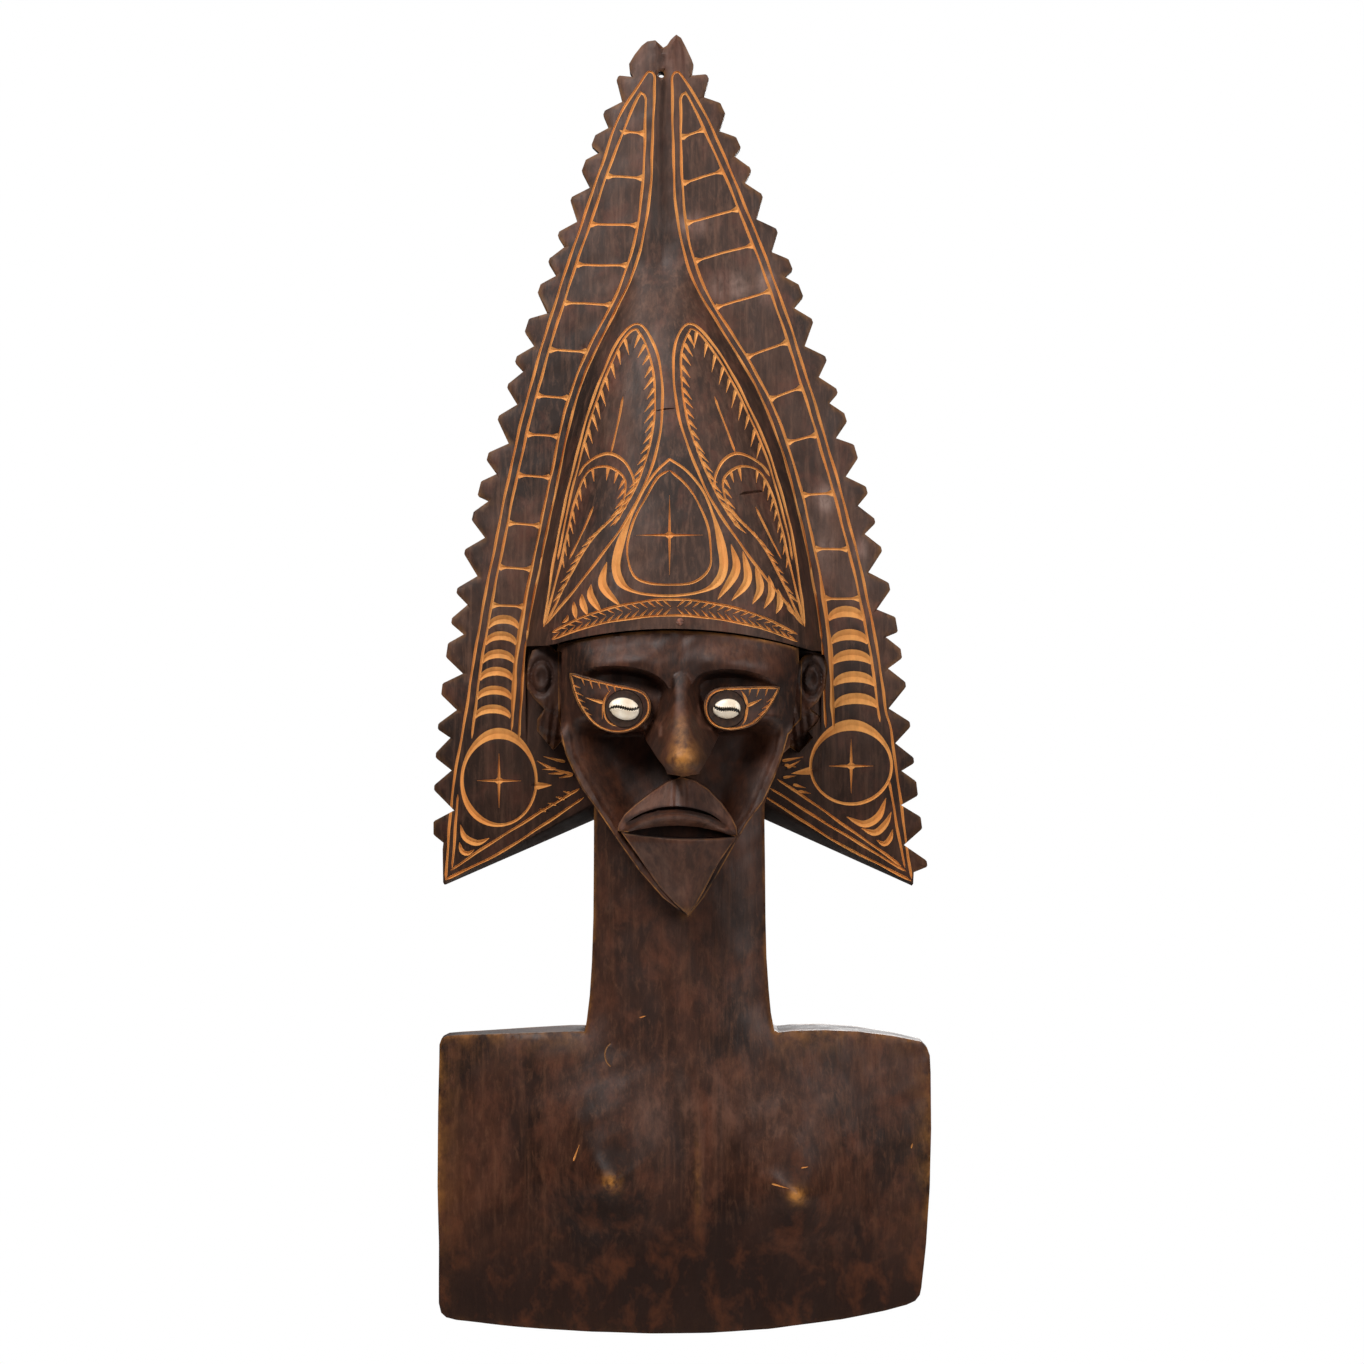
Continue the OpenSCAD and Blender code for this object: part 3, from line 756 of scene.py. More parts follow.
def wing_ornament(relief, side):
    """Disc with a star, border lines, crescents in the tip and barbs towards the head."""
    if side < 0:
        centre, a, b = (-124.7, 377.5), 25.8, 30.6
        lines = [
            [(-153.2, 368), (-155.2, 342), (-157.4, 317)],
            [(-162, 308.8), (-118.5, 331.2), (-66, 366.3)],
            [(-158.5, 315.5), (-118.5, 342), (-69, 372.4)],
        ]
        tip_cuts = [
            ([(-151.6, 347), (-148.5, 338.6), (-140, 334.6), (-131.3, 338)], 2.3),
            ([(-152.3, 335), (-150.5, 329), (-146.5, 327.2), (-142, 329.8)], 1.7),
        ]
        strokes = [
            ((-79, 390.6), (-94, 394.2)), ((-73.5, 381.8), (-90, 386.5)), ((-88, 385.5), (-98.6, 391.4)),
            ((-86, 386), (-95, 385.4)),
            ((-80, 383), (-90.5, 382.4)), ((-74, 381.6), (-83.3, 379.6)),
            ((-74.7, 368.7), (-80.5, 370.6)), ((-79.5, 364.8), (-85.4, 366.6)),
            ((-85.3, 361), (-91, 362.2)), ((-92.2, 356.6), (-97, 358.2)),
        ]
        spur, low_at = [(-99.5, 374), (-88.3, 374.6)], 228
    else:
        centre, a, b = (118, 387.6), 28.1, 26.2
        lines = [
            [(144.2, 378), (149.5, 348), (155.4, 317)],
            [(159.8, 308.2), (108.3, 335), (64, 363.4), (58.5, 367)],
            [(156.2, 314.8), (108.3, 343.5), (62, 372.5)],
            [(152.9, 318.6), (106, 352), (67, 379)],
        ]
        tip_cuts = [
            ([(114.8, 352.6), (127, 347.6), (137, 353), (142.2, 365.5)], 2.7),
            ([(125, 344.6), (134.5, 341.6), (141.8, 347.6), (146, 356)], 2.4),
            ([(135.5, 336.6), (141, 333.8), (145, 337.6), (146.8, 343.8)], 1.9),
        ]
        strokes = [
            ((70.4, 391.2), (85, 394)), ((74, 386.5), (83, 391.5)), ((72, 388.5), (80, 387)),
            ((78, 375), (86.5, 372.6)),
            ((71, 379.8), (80, 381)), ((82, 370.4), (90, 368.8)),
        ]
        spur, low_at = [(91, 384.6), (76.7, 382.5)], 300
    ring = oval(centre, a, b, 90, 450)
    angle = np.linspace(90, 450, len(ring))
    top = np.exp(-(((angle - 90 + 180) % 360 - 180) / 44) ** 2)
    low = np.exp(-(((angle - low_at + 180) % 360 - 180) / 34) ** 2)
    half = 0.9 + 2.9 * top + (1.4 if side < 0 else 0.3) * low
    relief.cut(ring + np.column_stack([0 * top, 2.0 * top]), half, 1.5)
    star(relief, centre, 15.4, 18.8)
    barb(relief, spur[0], spur[1], 3.0, 1.5)
    for points in lines:
        scored(relief, spline(points))
    for points, half in tip_cuts:
        crescent(relief, spline(points, 1.2), half)
    for root, tip in strokes:
        barb(relief, root, tip, 1.3)


def around(side, pairs):
    """Half widths and heights on one side of the middle of the dome."""
    return [(float(middle_x(z)) + side * half, z) for half, z in pairs]


def dome_ornament(relief, side):
    """Nested feathered loops on one half of the dome. They all run together at the lower corner."""
    outer = [
        (89, 483), (79, 550), (61, 616), (36, 672), (17, 690), (5, 665), (7, 618), (24, 570), (52, 528),
        (88, 484),
    ]
    outer = spline(outer)
    scored(relief, np.array(around(side, outer)))
    peak = int(np.argmax(outer[:, 1]))
    past_peak = smooth(peak - 8, peak + 8, np.arange(len(outer)))
    barbed = offset(outer, mix(2.9, 5.2, past_peak))
    first = int(np.argmax(outer[:, 1] > 529))
    last = len(outer) - int(np.argmax(outer[::-1, 1] > 547))
    barbed = np.array(around(side, barbed[first:last]))
    scored(relief, barbed, THIN * 0.85)
    peak = int(np.argmax(barbed[:, 1]))
    hugging = int(np.argmax(barbed[:, 1] > 603))
    feather(relief, barbed[hugging:peak], 12.5, 9.6, side * 0.3, 1.35)
    feather(relief, barbed[peak:], 10.5, 7.6, side * 0.75, 1.5)
    scored(relief, spline(around(side, [(31, 639.5), (36.5, 620), (42.3, 600.7)])), THIN * 0.8)
    arc = [(65.5, 586), (60.5, 593), (51, 599), (42, 600.3), (33, 594.5), (27.5, 584), (27.5, 576)]
    scored(relief, spline(around(side, arc)), THIN * 1.1)
    small = [
        (88, 485), (79, 522), (69, 565), (60, 587), (47, 592), (36, 586), (33, 577), (38, 561), (60, 537),
        (87, 486),
    ]
    small = spline(around(side, small))
    scored(relief, small, THIN * 0.9)
    peak = int(np.argmax(small[:, 1]))
    feather(relief, small[28:peak], 9.0, 8.0, side * 0.25, 1.1)
    feather(relief, small[peak:-10], 9.0, 7.0, side * 0.8, 1.35)
    scored(relief, spline(around(side, [(55, 564.5), (62, 549), (72, 529)])), THIN * 0.8)


def centre_ornament(relief):
    """Drop with a star, fanned crescents and the herring-bone band along the brim."""
    middle = -7.0
    low_line, top_line = (9.2, 3.5), (20.0, 8.5)
    drop = [
        (0, 596), (-9, 587.5), (-17, 576), (-24, 562), (-30, 548), (-34.5, 534), (-36, 522), (-32, 511.5),
        (-21, 505.5), (0, 503.5), (20, 506), (32, 512.5), (36.5, 524), (34, 542), (29, 559),
        (22.5, 574.5), (11.5, 588), (0, 596),
    ]
    path = spline([(middle + p[0], p[1]) for p in drop], 1.2)
    broad = smooth(505, 514, path[:, 1]) * (1 - smooth(534, 562, path[:, 1]))
    relief.cut(path, THIN + 2.1 * broad, 1.5)
    inner = [
        (0, 588.5), (-8, 583), (-16.5, 569), (-24, 555), (-28, 540), (-27.5, 526), (-23, 516),
        (-12, 511.5), (2, 511), (17, 513), (26.5, 521.5), (28, 534), (25.5, 551), (18.5, 567.5),
        (10, 580), (0, 588.5),
    ]
    scored(relief, spline([(middle + p[0], p[1]) for p in inner]), THIN * 0.85)
    star(relief, (middle, 544.4), 22.5, 27, 0.95)
    fan_left = [
        ((-49.4, 526.5), (-52, 510.8), (-39.8, 496.2), 2.9),
        ((-60, 511.5), (-60, 503), (-52.8, 492.3), 2.6),
        ((-66.2, 505), (-65.6, 498.5), (-62.3, 490.6), 2.3),
        ((-71.8, 500), (-71.2, 494), (-70.1, 487.8), 1.8),
        ((-76, 491), (-76.5, 488), (-80, 485.5), 1.3),
    ]
    fan_right = [
        ((34.5, 538.5), (37.8, 521), (25.3, 500.9), 2.9),
        ((42.5, 534), (45.6, 514.5), (34.8, 500.2), 2.8),
        ((51, 524.3), (54.2, 509), (48.8, 498), 2.6),
        ((60, 517.5), (61.9, 505.5), (56.7, 495.1), 2.4),
        ((66.4, 508.7), (67.8, 499), (65.0, 491.8), 2.2),
        ((73.2, 500), (74, 496), (76.5, 491.5), 1.5),
    ]
    for top, bulge, low, half in fan_left + fan_right:
        crescent(relief, spline([top, bulge, low], 1.2), half)

    def band(x, centre, end):
        return arch_z(x) + end + (centre - end) * (1 - (np.abs(x + 4) / 84) ** 2)

    x = np.linspace(-87, 80, 80)
    scored(relief, np.column_stack([x, band(x, *low_line)]), THIN * 0.9)
    scored(relief, np.column_stack([x, band(x, *top_line)]), THIN * 0.9)
    for side in (-1, 1):
        out = 2.0
        while out < 78:
            for centre, end, up in ((9.6, 3.8, 1), (19.6, 8.3, -1)):
                root = -4 + side * (out + 5.0)
                tip = -4 + side * out
                gap = float(band(np.array(tip), *top_line) - band(np.array(tip), *low_line))
                z = float(band(np.array(root), centre, end))
                tip_z = float(band(np.array(tip), centre, end)) + up * 0.42 * gap
                barb(relief, (root, z), (tip, tip_z), 0.95)
            out += 5.4 * random.uniform(0.92, 1.08)


def build_headdress():
    relief = Relief(
        headdress_outline(),
        headdress_depth,
        lambda x, z: 0.35 + 0.35 * waves(x, z, 47, 5),
        [(4.0, lambda x, z: np.ones(len(x), bool))],
        headdress_painted_shade,
    )
    relief.hole(oval(HOLE, HOLE_R, HOLE_R, 0, 345, 24))
    x = np.linspace(-106, 97, 60)
    arch = list(zip(x, arch_z(x)))
    relief.region([(-106, 330), (97, 330)] + arch[::-1], bare_board, 0)
    x = np.linspace(-82, 79, 50)
    head = [(-59, 350), (-59, 362), (-66, 372), (-72, 384), (-77, 397), (-80.5, 412)]
    head_right = [(75, 410), (69, 396), (63.5, 381), (57, 365), (57, 350)]
    relief.region(head + list(zip(x, arch_z(x) + 0.01)) + head_right, lap, 0)
    for side in (-1, 1):
        relief.region(*wing_bevel(side), 0)
        ladder_band(relief, side)
        wing_ornament(relief, side)
        dome_ornament(relief, side)
    centre_ornament(relief)
    # the mesh follows the valley of the crest
    for away in (-5.5, -2.2, 0, 2.2, 5.5):
        z = np.linspace(858 + abs(away) * 4, 690 + abs(away) * 6, 70)
        relief.crease(np.column_stack([middle_x(z) + away, z]))
    # two old cracks across the dome
    relief.cut([(-15.5, 629.3), (-10, 630.2), (-4.5, 630.8)], [0.3, 0.8, 0.3], 1.5, 0)
    relief.cut([(43, 573.2), (49, 574), (55, 575)], [1.2, 1.5, 1.2], 2.2, 0)
    return relief.build("headdress_timber")


# Lighter patches on the headdress: middle, half width and half height.
LIGHT_PATCHES = (
    (9, 760, 13, 7), (34, 717, 11, 9), (60, 722, 5, 13), (99, 571, 9, 8), (101.5, 537, 5, 13),
    (125, 535, 4, 10),
)


def headdress_painted_shade(x, z):
    """Painted shade on the headdress: in the valley of the crest, at the foot of the dome, round the head
    and under the wings, and darker towards the bottom. Lighter patches and a lighter crest top.
    """
    away = np.abs(x - middle_x(z))
    # painted shade down the valley of the crest
    dark = 0.45 * np.exp(-((away / 2.4) ** 2)) * smooth(675, 740, z) * (1 - 0.5 * smooth(850, 880, z))
    # painted shade where the dome meets the board
    gap = away - inner_half(z) + 3
    dome_foot = 0.45 * np.exp(-((gap / 6) ** 2)) * (1 - smooth(640, 720, z)) * smooth(440, 480, z)
    dark = np.maximum(dark, dome_foot)
    # painted shade round the head, below the brim
    dark = np.maximum(dark, 0.75 * (z < 470) * np.exp(-((np.maximum(away - 78, 0) / 20) ** 2)))
    # darker towards the bottom of the headdress
    dark = np.maximum(dark, 0.45 * smooth(470, 390, z))
    # painted shade on the bevelled undersides of the wings
    along = np.clip((162 - np.abs(x)) / 103, 0, 1)
    under = 306.5 + along * 57 - z
    dark = np.maximum(dark, 0.95 * smooth(-0.5, 1.5, under))
    # lighter at the crest top and in the lighter patches
    dark = dark - 0.45 * smooth(840, 870, z)
    for x0, z0, wide, high in LIGHT_PATCHES:
        dark = dark - 1.3 * np.exp(-(((x - x0) / wide) ** 2) - ((z - z0) / high) ** 2)
    return dark


# ---------------------------------------------------------------- bust

EYES = ((-37.5, 427.5), (31.5, 427.5))
EYE_R, EYE_DEEP = 12.5, 7
RIDGE_RUN, RIDGE_RISE = 22, 12
TIPS = ((-46.6, 109.6), (78.9, 101.0))  # of the breasts
PLATE = 97.0  # depth of the eye plates
PLATE_EDGE = 1.5
SEAM = 0.9  # gap between the crown and the brim


def tent(x, z, x0, z0, left, right, above, below):
    """1 at a point, falling to 0 at its own distance in each direction."""
    dx = (x - x0) / np.where(x < x0, left, right)
    dz = (z - z0) / np.where(z > z0, above, below)
    return np.clip(1 - np.hypot(dx, dz), 0, 1)


def neck_depth(x, z):
    """Front of the neck, rounded off at its sides."""
    share = np.clip(np.abs(x) / 62, 0, 1.05)
    return 71 - 15 * share**3.6 + 0.5 * waves(x, z, 44, 21)


def breast_ridge(x, z, side, width):
    """1 along the short ridge that runs from a breast's tip up towards the breastbone."""
    x0, z0 = TIPS[0] if side < 0 else TIPS[1]
    run, rise = -side * RIDGE_RUN, RIDGE_RISE
    along = np.clip(((x - x0) * run + (z - z0) * rise) / (run**2 + rise**2), 0.1, 1)
    away = np.hypot(x - x0 - along * run, z - z0 - along * rise)
    return np.exp(-((away / width) ** 2)) * (1 - 0.6 * along)


def chest_depth(x, z):
    """Chest plate with two low breasts, a hollow over each and a short rib."""
    share = np.clip(np.abs(x - 3) / 172, 0, 1)
    middle = 71 + 5 * smooth(205, 150, z) - 9 * smooth(95, 0, z)
    d = mix(middle, 43 - 3 * smooth(60, 0, z), share**1.9)
    for (x0, z0), wide, near in ((TIPS[0], 62, 54), (TIPS[1], 54, 62)):
        t = tent(x, z, x0, z0, wide, near, 92, 50)
        d = d + 29 * t**1.5 - 2.5 * smooth(0.88, 1.0, t)
        d = d + 2.2 * smooth(6.0, 3.0, np.hypot(x - x0, z - z0 + 1))
        side = np.sign(x0)
        d = d + 2.4 * breast_ridge(x, z, side, 5.0)
        d = d - 3.0 * np.exp(-(((x - x0 + side * 2) / 9) ** 2) - ((z - z0 - 17) / 11) ** 2)
    rib = np.exp(-((x - 12) / 2.2) ** 2) * smooth(52, 82, z) * (1 - smooth(135, 158, z))
    return d + 0.9 * rib + 0.8 * waves(x, z, 73, 22) + 0.35 * waves(x, z, 27, 23)


def trunk_depth(x, z):
    """Chest below, neck above, blended at the shoulders."""
    return mix(chest_depth(x, z), neck_depth(x, z), smooth(188, 232, z))


def skull_depth(x, z):
    """Convex form of the head, without its hollows."""
    share = np.clip(np.abs(x) / 84, 0, 1)
    return 52 + 47 * np.sqrt(np.maximum(1 - share**2.6, 0)) - 4.5 * smooth(458, 482, z)


def nose_x(z):
    """Middle line of the nose, which leans a little to the right at its tip."""
    return 0.6 + 1.6 * smooth(428, 394, z)


def nose_depth(x, z):
    """Long nose with a rounded ridge and steep sides."""
    away = np.abs(x - nose_x(z)) / ridge_half(z)
    drop = 2.2 + 6.5 * smooth(416, 398, z)
    flank = np.maximum(away - 1, 0) * ridge_half(z)
    return ridge_depth(z) - drop * np.minimum(away, 1) ** 2.4 - 2.6 * flank


ridge_depth = rule([
    (380, 120), (384, 132), (389, 140.5), (394, 143.5), (400, 141.5), (412, 131), (425, 119), (437, 110),
    (447, 103), (455, 95), (462, 80),
])
ridge_half = rule([
    (380, 8.5), (386, 11), (393, 12.2), (400, 11), (412, 7.4), (430, 4.8), (445, 5.2), (460, 8),
])
RIM_LEFT = [
    (-81, 412.5), (-77.5, 397), (-72, 385), (-66, 373), (-57, 361), (-41, 337.5), (-27.5, 318.5),
    (-11.5, 300.5),
]
RIM_RIGHT = [
    (16.5, 301), (25.5, 316), (37.5, 337), (45.5, 350.5), (56, 364.5), (64, 381), (69.5, 396),
    (73.5, 410),
]
CHIN = (5.5, 287.5)
rim_reach = rule([
    (286, 100), (310, 97), (345, 91), (365, 87), (385, 82), (400, 79), (420, 76), (450, 74), (490, 70),
])


def face_depth(x, z, below):
    """Forehead, temples and hollow cheeks."""
    d = skull_depth(x, z)
    left_end = np.interp(z, [287, 300, 337, 361, 397, 420, 480], [-2, 11.5, 41, 57, 77.5, 81, 81])
    right_end = np.interp(z, [287, 300, 337, 361, 397, 420, 480], [8, 16.5, 37.5, 54, 69.5, 74, 80])
    inset = np.where(x < 1, left_end + np.minimum(x, 1), right_end - x)
    rim = rim_reach(z)
    lower = 1 - smooth(408, 424, z)
    # the cheek falls from the rim to a hollow beside the muzzle
    hollow = rim - 15 * smooth(3, 30, inset) * smooth(300, 350, z) - 1.5 * smooth(4, 6.5, inset)
    d = mix(d, hollow, lower)
    brow = 1 - smooth(0, 14, np.abs(z - 459 + 0.0011 * (x + 3) ** 2))
    d = d + 4.0 * brow * smooth(6, 24, np.abs(x - 1)) * (1 - smooth(54, 76, np.abs(x)))
    frown = np.exp(-((x - 0.5) / 5) ** 2) * smooth(448, 462, z)
    return d - 1.4 * frown + 0.45 * waves(x, z, 31, 24)


def socket_depth(polygon):
    """Hollow under the brow, rolled over softly from the forehead."""
    rim = np.vstack([polygon, polygon[:1]])

    def depth(x, z, below):
        near_nose = np.exp(-((np.abs(x - 1) - 16) / 14) ** 2)
        back = skull_depth(x, z) - 13 - 4 * near_nose + smooth(449, 432, z) * 5
        edge_in = smooth(64, 40, np.abs(x + 3))
        roll, _ = path_distance(rim, x, z)
        d = mix(below, mix(below - 3.5, back, edge_in), smooth(-1.5, 6.0, roll))
        return np.maximum(d, nose_depth(x, z))

    return depth


def over_nose(x, z, below):
    """The face, or the nose where that stands further forward."""
    return np.maximum(below, nose_depth(x, z))


def plate_depth(side):
    """Eye plate that falls back towards its outer point."""
    x0, _ = EYES[0 if side < 0 else 1]

    def depth(x, z, below):
        away = np.clip((side * (x - x0) - 8) / 32, 0, 1)
        top = smooth(446, 436, z)
        return PLATE + 0.3 - 15 * away**1.5 - 1.2 * (1 - top) + 0.25 * waves(x, z, 15, 25)

    return depth


def wedge_depth(polygon):
    """Plane that runs down beside the nose and dies into the cheek."""
    rim = np.vstack([polygon, polygon[:1]])

    def depth(x, z, below):
        away = np.abs(x - 1.2) - (7.5 + 0.1 * (z - 384))
        d = np.maximum(111 - 0.35 * (z - 384) - 1.05 * np.maximum(away, 0), 84)
        fade, _ = path_distance(rim, x, z)
        return np.maximum(mix(below, d, smooth(-0.8, 3.5, fade)), nose_depth(x, z))

    return depth


def muzzle_depth(x, z, below):
    """Upper jaw with a narrow middle ridge and two grooves under the nose."""
    down = np.clip((382 - z) / 36, 0, 1)
    ridge = 106 + 15 * down
    away = np.maximum(np.abs(x + 1) - (3.0 + 2 * down), 0)
    groove = 1.0 * np.exp(-((np.abs(x - 1.5) - 4.5) / 1.6) ** 2) * smooth(352, 365, z)
    return ridge - 0.62 * away - groove


def lips_depth(x, z, below):
    """Bar of the upper lip, rolled forward along its top."""
    arch = 360.5 - 0.0095 * (x + 2) ** 2
    over = np.clip((arch - z) / 11.0, 0, 1)
    bar = 119.5 - 0.0105 * (x + 1) ** 2 - 0.16 * np.abs(x)
    return bar + 2.0 * np.sin(np.pi * np.clip(over * 1.3, 0, 1)) - 6 * over**2


def jaw_depth(x, z, below):
    """Lower jaw, flat in the middle and falling away to its sides."""
    t = np.clip((z - 288) / 55, 0, 1)
    centre = 5.5 - 4.5 * t
    flat = 1.5 + 10.5 * t
    away = np.maximum(np.abs(x - centre) - flat, 0)
    top_roll = 1.2 * smooth(338, 342, z)
    fold = 0.5 * np.exp(-((np.abs(x - centre) - flat) / 2.5) ** 2)
    return 101.5 + 17.5 * t**1.15 - 0.62 * away - top_roll - fold


def ear_depth(side):
    """Rolled rim with a ring inside it, and folds that run down the lobe."""
    middle, height, wide, tall = (94.5, 449, 8.2, 13.0) if side < 0 else (90.0, 447, 7.6, 13.0)

    def depth(x, z, below):
        u = side * x
        d = 49 - 0.22 * np.abs(u - 92) - 5 * smooth(424, 400, z)
        r = np.hypot((u - middle) / wide, (z - height) / tall)
        ring = 2.4 * np.exp(-(((r - 0.86) / 0.16) ** 2)) + 2.4 * smooth(0.55, 0.1, r)
        upper = 2.2 * smooth(2.5, -2.5, z - 427 - 0.35 * (u - 92))
        lower = 1.8 * smooth(2, -2, z - 411 - 0.5 * (u - 90))
        folds = 0.7 * np.sin((u - 88 + 0.14 * (z - 420)) * 2 * math.pi / 5.5) * smooth(434, 424, z)
        return d + 4 * smooth(470, 450, z) - ring - (upper + lower) + folds

    return depth


MOUTH = [
    (-39, 343.8), (-27.5, 346.3), (-14, 348.6), (-1, 349.3), (12, 348.3), (25.5, 345.2), (38, 341),
    (25.5, 340.2), (-1, 340.3), (-25, 341.8),
]
MUZZLE = [
    (0.8, 382), (-9, 378), (-19.5, 371), (-30, 363), (-37, 356.5), (-41, 350), (-42, 345.5), (-20, 343),
    (0, 342), (20, 342), (38.8, 342), (38, 348), (34.5, 355), (28, 364), (19, 373.5), (10.5, 379),
]
JAW = [
    (-39.5, 344.5), (-27.5, 328), (-14.5, 309), (-3.5, 297), (5.5, 289), (11, 296.3), (16, 305),
    (25.5, 323.5), (38.3, 341.8), (25.5, 340.9), (12, 340.9), (-1, 341), (-11.5, 341.6), (-25, 342.6),
]
EAR_LEFT = [
    (-81, 405), (-86.5, 399), (-91, 404), (-98, 412.5), (-97.5, 420), (-92.5, 427), (-100, 434.5),
    (-104.5, 441.5), (-105.3, 450), (-103.5, 459), (-101, 467), (-95, 471), (-88, 470), (-84.5, 466.5),
]
EAR_RIGHT = [
    (81, 459), (84.5, 463.5), (91.5, 465.5), (98.5, 464), (101, 456), (99.5, 442), (94, 432), (89, 427.5),
    (96, 422), (93.5, 417), (88, 411.5), (91, 407.5), (81, 397), (75, 401),
]


def bust_outline():
    """Foot, right side, crown and left side of the bust, in order."""
    foot = [
        (-165, 60), (-165.2, 20), (-163.6, 13.5), (-160, 10.5), (-153, 9), (-110, 5.6), (-60, 3.6),
        (-20, 3), (20, 3.4), (60, 5.6), (110, 11), (140, 16), (155, 19.5), (161, 22), (164.2, 26),
        (165.3, 31), (168.5, 62), (171, 100), (172, 140), (171.6, 178),
    ]
    top_right = [
        (171, 190), (169, 195.5), (165, 199.7), (145, 204), (122, 207.2), (99, 208.4), (77, 208),
        (67, 207), (64.2, 208.5),
    ]
    neck_right = [(62, 220), (60.5, 236), (59, 258), (58.3, 285), (58, 320), (57.6, 350), (57.6, 362.5)]
    head_right = [(64, 381), (69.5, 396)] + EAR_RIGHT[::-1]
    x = np.linspace(80.5, -83, 34)
    arch = list(zip(x, arch_z(x) - SEAM))
    head_left = EAR_LEFT[::-1] + [(-77.5, 397), (-72, 385), (-66, 373), (-58.6, 362.5)]
    neck_left = [
        (-58.6, 340), (-58.8, 310), (-59, 285), (-60, 255), (-61.5, 232), (-63.5, 215), (-64.8, 207.5),
    ]
    top_left = [
        (-75, 207.5), (-110, 206), (-150, 204.3), (-159, 203.6), (-163, 201.6), (-164.6, 197.5),
        (-165.6, 150), (-166, 100),
    ]
    right = top_right + neck_right + head_right
    left = head_left + neck_left + top_left
    return split_edges(foot + right + arch + left, 5.0)


def bust_back(x, z):
    """Hollowed edges of the chest's back, and the lap that the headdress board fills."""
    bevel = 19 * smooth(70, 172, np.abs(x - 3)) * (1 - smooth(205, 215, z))
    return np.where(z > LAP_Z, LAP_DEPTH + 0.3, 0.35 + bevel + 0.35 * waves(x, z, 53, 26))


def rubbed(x, z):
    """Places that hands and dusting have rubbed through the stain."""
    r = 0.95 * np.exp(-((x - 2.2) / 9) ** 2 - ((z - 394) / 9) ** 2)
    r = r + 0.35 * np.exp(-((x / 4) ** 2) - ((z - 412) / 12) ** 2)
    for x0, z0 in TIPS:
        r = r + 0.95 * np.exp(-((x - x0) ** 2 + (z - z0 + 1.5) ** 2) / 5.5**2)
    r = r + 0.55 * np.exp(-((x - 5.5) ** 2 + (z - 289) ** 2) / 4.5**2)
    rib = np.exp(-((x - 12) / 1.6) ** 2) * smooth(52, 82, z) * (1 - smooth(135, 158, z))
    sides = np.minimum(np.minimum(x + 166, 172 - x), np.minimum(z - 3, 207 - z))
    off_neck = np.maximum(smooth(58, 70, np.abs(x)), smooth(190, 170, z))
    plate = np.exp(-np.maximum(sides, 0) / 7) * (z < 207) * off_neck
    return r + 0.16 * rib + 0.22 * plate


LIP_SLIT = [(-34.5, 351.8), (-25, 356.3), (-14, 359.4), (-2.5, 360.4), (9.5, 359), (20, 355.8), (29, 350.6)]
# Lines of painted highlight along the edges by the inner corners of the eyes.
EYE_CORNER_HIGHLIGHTS = (
    [(-24, 416.5), (-19.5, 418.3), (-13.8, 417.6), (-12.9, 410)],
    [(12.5, 429), (13, 419.5), (16, 415.3), (21, 414.4)],
)


